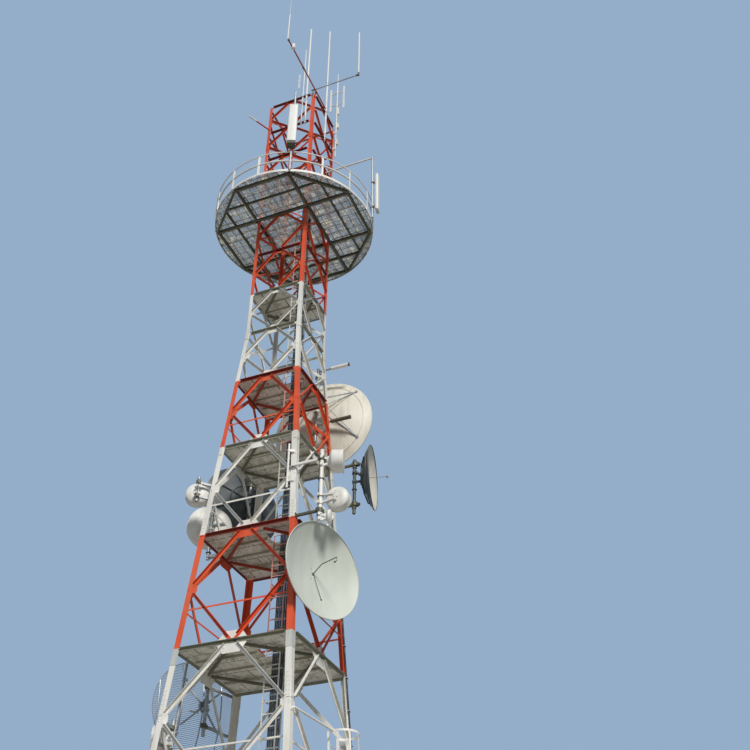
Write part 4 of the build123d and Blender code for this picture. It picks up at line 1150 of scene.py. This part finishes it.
BOOM_Z, BOOM_X, BOOM_END, BOOM_RADIUS = 31.4, 0.930, -3.15, 0.024
LOAD_X, LOAD_Y = 0.960, -2.770
LOAD = [(0.0, 0), (0.060, 0), (0.068, 0.01), (0.068, 0.21), (0.060, 0.22), (0.0, 0.224)]
BOOM_POSTS = ((-0.15, 31.245), (-0.816, 31.2))
ROD_X, ROD_Y, ROD_Z = 2.58, -0.905, 31.45
POLE_Z, POLE_WHITE = 30.1, 0.62


def front_boom():
    """The long boom: its pipe on two posts, the end rod with its whip, and the load cylinder."""
    pipe, rods = Shape(), Shape()
    pipe.tube([at(BOOM_X, -0.06, BOOM_Z), at(BOOM_X, -3.17, BOOM_Z)], BOOM_RADIUS, 16)
    for y, low in BOOM_POSTS:
        pipe.bar(at(0.885, y, low - 0.04), at(0.885, y, BOOM_Z + 0.03), 0.07, 0.010, RIGHT)
        for height in (-0.02, 0.0, 0.02):
            pipe.bolt(at(0.890, y - 0.025, low + height), RIGHT, 0.010)
        pipe.bar(at(BOOM_X - 0.04, y, BOOM_Z - 0.03), at(BOOM_X + 0.03, y, BOOM_Z - 0.03), 0.07, 0.010)
    pipe.piece("boom_pipe", "banded_paint", ["front_boom"])
    rods.upright(BOOM_X, BOOM_END, 31.36, 32.81, 0.0245, 16)
    rods.upright(BOOM_X, BOOM_END, 32.80, 33.70, 0.007, 8)
    rods.lathe(at(BOOM_X, BOOM_END, 33.69), UP, [(0.007, 0), (0.011, 0.005), (0.011, 0.015), (0, 0.022)], 10)
    rods.lathe(at(LOAD_X, LOAD_Y, 31.33), UP, LOAD, 32)
    rods.piece("boom_rods", "radome_white")


def boom_fittings():
    """Clamps and ferrules on the booms, and the white cover of the right boom's rod."""
    metal, cover = Shape(), Shape()
    for y, _ in BOOM_POSTS:
        metal.u_bolt(at(BOOM_X, y, BOOM_Z - 0.036), UP, BOOM_RADIUS)
    for y in (-3.10, LOAD_Y, -1.9):
        metal.collar(at(BOOM_X, y, BOOM_Z), BACK, 0.025, 0.036, 0.045, 20)
    metal.bar(at(BOOM_X, LOAD_Y, BOOM_Z), at(LOAD_X, LOAD_Y, BOOM_Z), 0.05, 0.05)
    for x in (0.83, 2.54):
        metal.collar(at(x, ROD_Y, ROD_Z), RIGHT, 0.021, 0.034, 0.05, 20)
    metal.ferrule(at(ROD_X, ROD_Y, 0), 0.026, 31.40, 31.58)
    metal.piece("boom_fittings", "beam_paint")
    cover.lathe(at(ROD_X, ROD_Y, 0), UP, [(0.026, 31.50), (0.026, 33.97), (0.018, 34.0), (0.0, 34.005)], 20)
    cover.piece("right_boom_rod", "radome_white")


def short_pole():
    """The short pole on the front left leg, with its white end and its bracket."""
    foot, tip = at(-0.855, -0.884, POLE_Z), at(-1.220, -1.660, POLE_Z)
    run = tip - foot
    neck = foot + run * POLE_WHITE
    pole, end = Shape(), Shape()
    pole.tube([foot, neck], 0.026, 16)
    pole.bar(at(-0.820, -TOP_HALF - FIT_GAP, POLE_Z), at(-0.820, -TOP_HALF - 0.020, POLE_Z), 0.06, 0.12)
    for height in (-0.04, 0.04):
        pole.bolt(at(-0.803, -TOP_HALF - 0.020, POLE_Z + height), -BACK, 0.011)
    pole.piece("short_pole", "banded_paint", ["left_pole"])
    end.tube([neck - run * 0.01, tip], 0.028, 16)
    end.lathe(neck, run.normalized(), [(0.028, -0.01), (0.033, -0.005), (0.033, 0.03), (0.028, 0.035)], 20)
    end.piece("short_pole_end", "radome_white")


# Clamps and arms of the upright pipes: place, radius and the heights of the arms

SIDE_ARMS, MAST_ARMS = (15.47, 16.75), (13.89, 15.37)
PIPES = (
    (FRONT_PIPE, PIPE, (11.9, 13.1)),
    (BACK_PIPE, PIPE, (18.05, 19.2, 20.1)),
    (SIDE_PIPE, PIPE, SIDE_ARMS),
    (FAR_PIPE, PIPE, (15.6, 16.6)),
    (GRID_PIPE, PIPE, (9.8, 10.75)),
    (MAST_PIPE, MAST, MAST_ARMS),
    (LEFT_PIPE, PIPE, (15.0, 15.4)),
    (LOW_PIPE, PIPE, (8.8, 9.3)),
)
ARM, ARM_PAD, ARM_PAD_THICK, ARM_OUT, ARM_INSET = 0.060, 0.12, 0.012, 0.045, 0.075
MAST_FOOT, MAST_HEAD = 13.58, 15.62


def pipe_clamps():
    """Split clamps where arms meet the upright pipes."""
    shape = Shape()
    for place, radius, heights in PIPES:
        inwards = (at(0, 0, 0) - at(*place, 0)).normalized()
        ear = inwards.cross(UP) * (radius + 0.035)
        for spot in [at(*place, z) for z in heights]:
            shape.collar(spot, UP, radius, radius + 0.020, 0.055)
            for lug in (spot - ear, spot + ear):
                shape.block(lug, inwards * 0.03, 0.035, 0.09)
                for height in (-0.025, 0.025):
                    for way in (-inwards, inwards):
                        shape.bolt(lug + way * 0.03 + UP * height, way, 0.011)
    shape.piece("pipe_clamps", "beam_paint")


def bolted_pad(shape, foot, out, bolt_at):
    """A square plate on a leg at foot, facing out, with a bolt in each corner."""
    shape.bar(foot, foot + out * ARM_PAD_THICK, ARM_PAD, ARM_PAD)
    for u, v in square(bolt_at):
        shape.bolt(foot + out * ARM_PAD_THICK + out.cross(UP) * u + UP * v, out, 0.010)


def leg_arm(shape, turn, sign, z, target, inset=ARM_INSET):
    """A level arm from a bolted pad on a leg to a pipe at target."""
    foot = face_point(turn, sign * (half(z) - inset), z, FIT_GAP)
    out = turned(turn, 0, -1)
    elbow = foot + out * ARM_OUT
    bolted_pad(shape, foot, out, 0.045)
    shape.bar(foot, elbow + out * ARM / 2, ARM, ARM)
    shape.bar(elbow, at(*target, z), ARM, ARM)


def right_mast():
    """The pale mast of the right drums, on a pale upper arm and a dark lower one."""
    pipe, arm = Shape(), Shape()
    x, y = MAST_PIPE
    low_arm, high_arm = MAST_ARMS
    pipe.upright(x, y, MAST_FOOT, MAST_HEAD, MAST, 32)
    for z, way in ((MAST_FOOT, -UP), (MAST_HEAD, UP)):
        pipe.lathe(at(x, y, z), way, [(0.058, -0.03), (0.058, 0.004), (0.03, 0.012)], 32)
    side = half(high_arm) - ARM_INSET
    leg_arm(pipe, 0, 1, high_arm, (side, y))
    pipe.bar(at(side - ARM / 2, y, high_arm), at(x, y, high_arm), ARM, ARM)
    pipe.piece("right_mast_pipe", "white_paint", ["right_mast"])
    leg_arm(arm, 90, -1, low_arm, MAST_PIPE, inset=0.050)
    arm.piece("right_mast_arms", "beam_paint")


def side_mount():
    """The side dish's pipe, arms and clamps, all dark: dark clamps, and painted shade from the dish on the
    pipe and arms.
    """
    shape = Shape()
    x, y = SIDE_PIPE
    shape.upright(x, y, 15.2, 16.9, PIPE, 32)
    shape.lathe(at(x, y, 16.9), UP, [(0.048, -0.03), (0.048, 0.004), (0.03, 0.01)], 32)
    for z in SIDE_ARMS:
        side = half(z) - ARM_INSET
        leg_arm(shape, 180, -1, z, (side, y))
        shape.bar(at(side - ARM / 2, y, z), at(x + 0.17, y, z), ARM, ARM)
        for lift in (-0.09, 0.09):
            shape.collar(at(x, y, z + lift), UP, 0.046, 0.064, 0.02)
        for dy in (-0.05, 0.05):
            shape.block(at(x + 0.02, y + dy, z), RIGHT * 0.11, 0.016, 0.08)
    # Dark paint over the whole mount: painted shade where the side dish shades the pipe and arms
    shape.piece("side_dish_carrier", "beam_paint", ["side_dish_mount"])


# Height, start, end and paint of the sleeves on the two level pipe stubs
STUBS = {
    "upper_stub": (20.30, 0.98, 1.56, "white_paint"),
    # The lower sleeve's dark paint is painted shade: it lies in the shadow of the back dish
    "lower_stub": (18.35, 1.02, 1.64, "beam_paint"),
}
STUB_CAP = [(0.0, -0.02), (0.060, -0.02), (0.060, 0.004), (0.050, 0.008), (0.0, 0.008)]


def stub_sleeves():
    """Thick sleeves with dark caps over the two pipe stubs behind the back right leg, the lower sleeve dark
    as painted shade.
    """
    caps = Shape()
    for name, (z, start, end, slot) in STUBS.items():
        sleeve = Shape()
        root, tip, long = at(start, BACK_PIPE[1], z), at(end, BACK_PIPE[1], z), end - start
        outline = [(0.029, 0), (0.050, 0.004), (0.056, 0.012), (0.056, long - 0.022), (0.029, long - 0.020)]
        sleeve.lathe(root, RIGHT, outline, 32)
        sleeve.piece(f"{name}_sleeve", slot)
        caps.lathe(tip, RIGHT, STUB_CAP, 32)
    caps.piece("stub_caps", "beam_paint")


# Caged ladder, measured from the right face

CAGE_Y, CAGE_HALF, CAGE_RADIUS = 0.430, 0.250, 0.350
CAGE_LOW, CAGE_TOP, CAGE_HOOPS, CAGE_STEPS, STRAP_STEP = 2.5, 9.1, 8, 24, 4
STANDOFF, RAIL_DEEP, RAIL_THICK, RUNG_PITCH, RUNG = 0.030, 0.050, 0.012, 0.280, 0.012
HOOP_OUT, HOOP_FLAT, HOOP_TALL = STANDOFF + RAIL_DEEP + FIT_GAP, 0.003, 0.050
RAIL_MIDDLE = STANDOFF + RAIL_DEEP / 2


def cage_ladder():
    """The ladder outside the right face: flat rails, round rungs and bolted stand-offs."""
    shape = Shape()
    for sign in (-1, 1):
        along = CAGE_Y + sign * CAGE_HALF
        ends = [face_point(90, along, z, RAIL_MIDDLE) for z in (RUNG_PITCH, CAGE_TOP)]
        shape.bar(*ends, RAIL_THICK, RAIL_DEEP, face_way(90, 1))
        for z in (LEVELS[1] - 0.04, LEVELS[2] - 0.04):
            face = STANDOFF + RAIL_THICK
            shape.bar(face_point(90, along, z, -0.014), face_point(90, along, z, face), 0.06, 0.08)
            for height in (-0.02, 0.02):
                shape.bolt(face_point(90, along + sign * 0.018, z + height, face), face_way(90, z), 0.010)
    reach = CAGE_HALF + RAIL_THICK
    for z in [(n + 1.5) * RUNG_PITCH for n in range(int(CAGE_TOP / RUNG_PITCH) - 1)]:
        shape.tube([face_point(90, y, z, RAIL_MIDDLE) for y in (CAGE_Y - reach, CAGE_Y + reach)], RUNG, 10)
    shape.piece("cage_ladder_frame", "white_paint", ["caged_ladder"])


def cage():
    """Flat hoops with bolted straps round the outer ladder, and the arm that ties the cage to a leg."""
    shape = Shape()
    centre_out = HOOP_OUT + sqrt(CAGE_RADIUS**2 - CAGE_HALF**2)
    start = degrees(atan2(HOOP_OUT - centre_out, CAGE_HALF))
    angles = [radians(start + n * (180 - 2 * start) / CAGE_STEPS) for n in range(CAGE_STEPS + 1)]
    straps = angles[STRAP_STEP:-STRAP_STEP:STRAP_STEP]

    def spot(t, radius, z):
        return face_point(90, CAGE_Y + radius * cos(t), z, centre_out + radius * sin(t))

    def outwards(t, z):
        return (spot(t, 1.0, z) - spot(t, 0.5, z)).normalized()

    section = [(dr * HOOP_FLAT, dz * HOOP_TALL / 2) for dr, dz in ((-1, -1), (1, -1), (1, 1), (-1, 1))]
    for n in range(CAGE_HOOPS):
        z = CAGE_LOW + n * (CAGE_TOP - CAGE_LOW) / (CAGE_HOOPS - 1) - HOOP_TALL / 2
        shape.loft([[spot(t, CAGE_RADIUS + dr, z + dz) for dr, dz in section] for t in angles])
        for t in straps:
            shape.bolt(spot(t, CAGE_RADIUS + HOOP_FLAT, z), outwards(t, z), 0.009)
        for t in (angles[0], angles[-1]):
            end = spot(t, CAGE_RADIUS, z)
            shape.bar(end, end - face_way(90, z) * 0.05, 0.008, HOOP_TALL)
    for t in straps:
        ends = [spot(t, CAGE_RADIUS - 0.0065, z) for z in (CAGE_LOW - HOOP_TALL, CAGE_TOP)]
        shape.bar(*ends, 0.040, 0.006, outwards(t, 5))
    tie_z = CAGE_TOP - HOOP_TALL / 2
    pad = face_point(90, ARM_INSET - half(tie_z), tie_z, FIT_GAP)
    bolted_pad(shape, pad, RIGHT, 0.04)
    elbow = pad + RIGHT * (ARM_PAD_THICK + ARM_OUT)
    shape.tube([pad, elbow, spot(radians(200), CAGE_RADIUS, tie_z)], 0.024, 12)
    shape.piece("cage_hoops", "white_paint", ["ladder_cage"])


# Cables

LEG_RUN_TOP, LEG_RUN_STEP, LEG_RUN_POINTS = 13.6, 0.4, 34
# Pipe, its radius, the azimuth of the cable on it, and the cable's lowest and highest point
PIPE_RUNS = (
    (MAST_PIPE, MAST, -110, 13.62, 15.5),
    (FRONT_PIPE, PIPE, -100, 11.7, 13.3),
    (SIDE_PIPE, PIPE, -80, 15.3, 16.8),
    (LEFT_PIPE, PIPE, -60, 14.9, 15.5),
    (BIG_PIPE, PIPE, -40, 13.8, 15.2),
)
TIE = ((0.001, -0.006), (0.026, -0.005), (0.026, 0.005), (0.001, 0.006))
TIE_PITCH, TIE_START = 0.5, 0.15


def leg_cables():
    """Cables run down the outside of the back right leg, with their cleats, and others on the pipes."""
    cables, cleats, ties = Shape(), Shape(), Shape()
    heights = [LEG_RUN_TOP - LEG_RUN_STEP * n for n in range(LEG_RUN_POINTS)]
    for offset in (0.035, 0.075):
        cables.tube([face_point(90, half(z) - offset, z, 0.020) for z in heights], 0.016, 10)
    for z in heights[1::2]:
        ends = [face_point(90, half(z) - along, z, 0.042) for along in (0.008, 0.102)]
        cleats.bar(*ends, 0.030, 0.008)
        for end in ends:
            cleats.bar(end - face_way(90, z) * 0.042, end, 0.008, 0.030)
            cleats.bolt(end, face_way(90, z), 0.008)
    for (x, y), radius, azimuth, low, high in PIPE_RUNS:
        offset = aim(azimuth) * (radius + 0.012)
        cables.upright(x + offset.x, y + offset.y, low, high, 0.012)
        for n in range(int((high - low) / TIE_PITCH)):
            spot = at(x, y, low + TIE_START + TIE_PITCH * n)
            ties.lathe(spot, UP, [(radius + dr, d) for dr, d in TIE], 24, closed=True)
    cables.piece("clipped_cables", "cable_jacket")
    cleats.piece("cable_cleats", "galvanized")
    ties.piece("cable_ties", "cable_jacket")


def side_pipes():
    """A short white pipe clamped beside the near leg, and a grey one on the left face."""
    white, grey = Shape(), Shape()
    x, y = half(15.4) - 0.20, -half(15.4) - 0.06
    white.upright(x, y, 14.75, 16.05, 0.028, 16)
    for z in (14.95, 15.85):
        side = half(z)
        white.ferrule(at(x, y, z), 0.030, z - 0.05, z + 0.05)
        white.bar(at(x, y, z), at(side - 0.05, -side - 0.012, z), 0.04, 0.06)
        white.bar(at(side - 0.10, -side - 0.008, z), at(side - 0.005, -side - 0.008, z), 0.014, 0.12)
        for height in (-0.035, 0.035):
            white.bolt(at(side - 0.09, -side - 0.015, z + height), -BACK, 0.010)
    white.piece("near_leg_pipe", "white_paint")
    low, high = [face_point(270, 0.76, z, 0.075) for z in (8.8, 10.8)]
    grey.tube([low, high], 0.030, 16)
    for spot in (low.lerp(high, 0.2), low.lerp(high, 0.8)):
        grey.bar(spot, spot + RIGHT * 0.085, 0.05, 0.05)
        grey.ferrule(spot, 0.031, spot.z - 0.05, spot.z + 0.05)
    grey.piece("left_face_pipe", "galvanized")


LADDER_X, LADDER_TOP, LADDER_SIDE, LADDER_BACK = 0.590, 26.6, 0.180 + 0.010, -0.33
CABLE_Y, CABLE_PITCH, CLIP_REACH = -0.345, 0.042, 0.155
CLIPS_LOW, CLIPS_STEP, CLIPS_MORE = 0.9, 0.55, 0.05
TIES, TIES_LOW, TIES_PITCH, TIES_MOVE = 18, 1.2, 1.42, 0.3


def cable_clips():
    """Clip bars with their bolts, and clip blocks over the cables on their rack."""
    bars, blocks = Shape(), Shape()
    n, z = 0, CLIPS_LOW
    while z < LADDER_TOP - 0.5:
        if clear_of_levels(z, 0.12):
            low, high = [at(x, CABLE_Y - 0.024, z) for x in (LADDER_X - CLIP_REACH, LADDER_X + CLIP_REACH)]
            bars.bar(low, high, 0.006, 0.028)
            for k in range(-3, 4):
                spot = at(LADDER_X + k * CABLE_PITCH, CABLE_Y - 0.019, z)
                wide = RNG.uniform(0.028, 0.036)
                blocks.bar(spot - UP * 0.018, spot + UP * RNG.uniform(0.015, 0.03), wide, 0.012, BACK)
            for end in (low, high):
                bars.bolt(end - BACK * 0.003, -BACK, 0.009)
        n += 1
        z += CLIPS_STEP + CLIPS_MORE * (n % 3)
    bars.piece("cable_clip_bars", "galvanized")
    blocks.piece("cable_clip_blocks", "drum_grey")


def ladder_ties():
    """Flat ties with bolts from the main ladder to the rack behind it."""
    shape = Shape()
    for z in [TIES_LOW + n * TIES_PITCH for n in range(TIES)]:
        if not clear_of_levels(z, 0.15):
            z += TIES_MOVE
        for sign in (-1, 1):
            x = LADDER_X + sign * LADDER_SIDE
            corner = at(x, LADDER_BACK, z)
            shape.bar(at(x, -0.578, z), corner, 0.006, 0.035)
            shape.bar(corner, at(LADDER_X + sign * 0.14, LADDER_BACK, z), 0.035, 0.006)
            shape.bolt(at(x + sign * 0.003, -0.56, z), RIGHT * sign, 0.010)
    shape.piece("ladder_ties", "galvanized")


lattice()
leg_splices()
sleeves()
anchor_bolts()
grating()
railing()
deck_beams()
deck_clips()
reflector("front_dish", "dish_green_grey", FRONT_DISH)
reflector("back_dish", "dish_cream", BACK_DISH, tall=0.40, ribs=0)
reflector("side_dish", "dish_slate", SIDE_DISH, face_slot="dish_cream")
reflector("far_dish", "dish_slate", FAR_DISH)
front_feed()
dish_struts()
grid_dish()
for drum_name, drum_values in DRUMS.items():
    drum(drum_name, *drum_values)
panel("front_panel_antenna", -67.5, 29.34, 26.55, (0.300, 0.130, 1.800), link=False)
panel("right_panel_antenna", 7.5, 28.37, 25.70, (0.260, 0.110, 1.700), link=True)
whips()
whip_dipole()
dipoles()
dipole_boxes()
front_boom()
boom_fittings()
short_pole()
cage_ladder()
cage()
pipe_clamps()
right_mast()
side_mount()
stub_sleeves()
cable_clips()
ladder_ties()
leg_cables()
side_pipes()

# Camera, light and backdrop, with the focal length and the optical centre in pixels

FOCAL_PX, FRAME_PX, SENSOR = 1001.0, 750.0, 36
OPTICAL_X, OPTICAL_Y = 377.8, 373.3
EYE = at(11.045, -20.17, 1.6)
HEADING, PITCH = radians(111.89), radians(38.22)
BACKDROP, AMBIENT, AMBIENT_STRENGTH = (0.30, 0.42, 0.58), (0.80, 0.88, 1.0), 0.15
FLOOR_RADIUS, FLOOR_SIDES, FLOOR_DROP = 380, 128, 0.002
FLOOR_LIT, FLOOR_SEEN = (0.46, 0.455, 0.44), (0.62, 0.63, 0.64)


def facing(direction):
    """The turn that points a camera or a lamp along a direction."""
    return Vector(direction).to_track_quat("-Z", "Y").to_euler()


def photo_camera():
    """The camera, at the photo's place and angle."""
    data = bpy.data.cameras.new("camera")
    data.sensor_width = SENSOR
    data.lens = FOCAL_PX / FRAME_PX * SENSOR
    data.shift_x = -(OPTICAL_X - FRAME_PX / 2) / FRAME_PX
    data.shift_y = (OPTICAL_Y - FRAME_PX / 2) / FRAME_PX
    data.clip_end = 400
    camera = add_object("camera", data)
    camera.location = EYE
    camera.rotation_euler = facing((cos(PITCH) * cos(HEADING), cos(PITCH) * sin(HEADING), sin(PITCH)))
    bpy.context.scene.camera = camera


def backdrop():
    """The world: even pale light, and the backdrop that the camera and reflections see."""
    world = bpy.data.worlds.new("backdrop")
    world.use_nodes = True
    bpy.context.scene.world = world
    tree = Nodes(world.node_tree)
    tree.nodes.clear()
    rays = tree.node("ShaderNodeLightPath").outputs
    share = tree.maths("MAXIMUM", rays["Is Camera Ray"], rays["Is Glossy Ray"])
    share = tree.maths("MAXIMUM", share, rays["Is Transmission Ray"])
    mixed = tree.node("ShaderNodeMixShader", Fac=share)
    for index, (colour, strength) in enumerate(((AMBIENT, AMBIENT_STRENGTH), (BACKDROP, 1.0)), 1):
        shade = tree.node("ShaderNodeBackground", Color=(*colour, 1), Strength=strength)
        tree.feed(mixed.inputs[index], shade.outputs[0])
    tree.node("ShaderNodeOutputWorld", Surface=mixed.outputs[0])


def sun(name, direction, strength, angle, colour):
    """A soft lamp shining along a direction."""
    data = bpy.data.lights.new(name, "SUN")
    data.energy = strength
    data.angle = radians(angle)
    data.color = colour
    add_object(name, data).rotation_euler = facing(direction)


def pale_floor():
    """A wide round floor, paler to the camera than to the light on the tower."""
    mesh = bpy.data.meshes.new("floor")
    rim = [at(0, 0, -FLOOR_DROP) + aim(360 * n / FLOOR_SIDES) * FLOOR_RADIUS for n in range(FLOOR_SIDES)]
    mesh.from_pydata([tuple(p) for p in rim], [], [tuple(range(FLOOR_SIDES))])
    made = Shader("floor_paint", 0.9)
    seen = made.node("ShaderNodeLightPath").outputs["Is Camera Ray"]
    made.give(Base_Color=made.mix(seen, FLOOR_LIT, FLOOR_SEEN))
    mesh.materials.append(made.mat)
    floor = add_object("floor", mesh)


photo_camera()
backdrop()
sun("key", (-0.50, 0.64, -0.58), 3.1, 14, (1.0, 0.97, 0.92))
sun("fill", (0.7, 0.5, -0.2), 0.08, 60, (0.85, 0.92, 1.0))
pale_floor()
bpy.context.scene.view_settings.view_transform = "Standard"
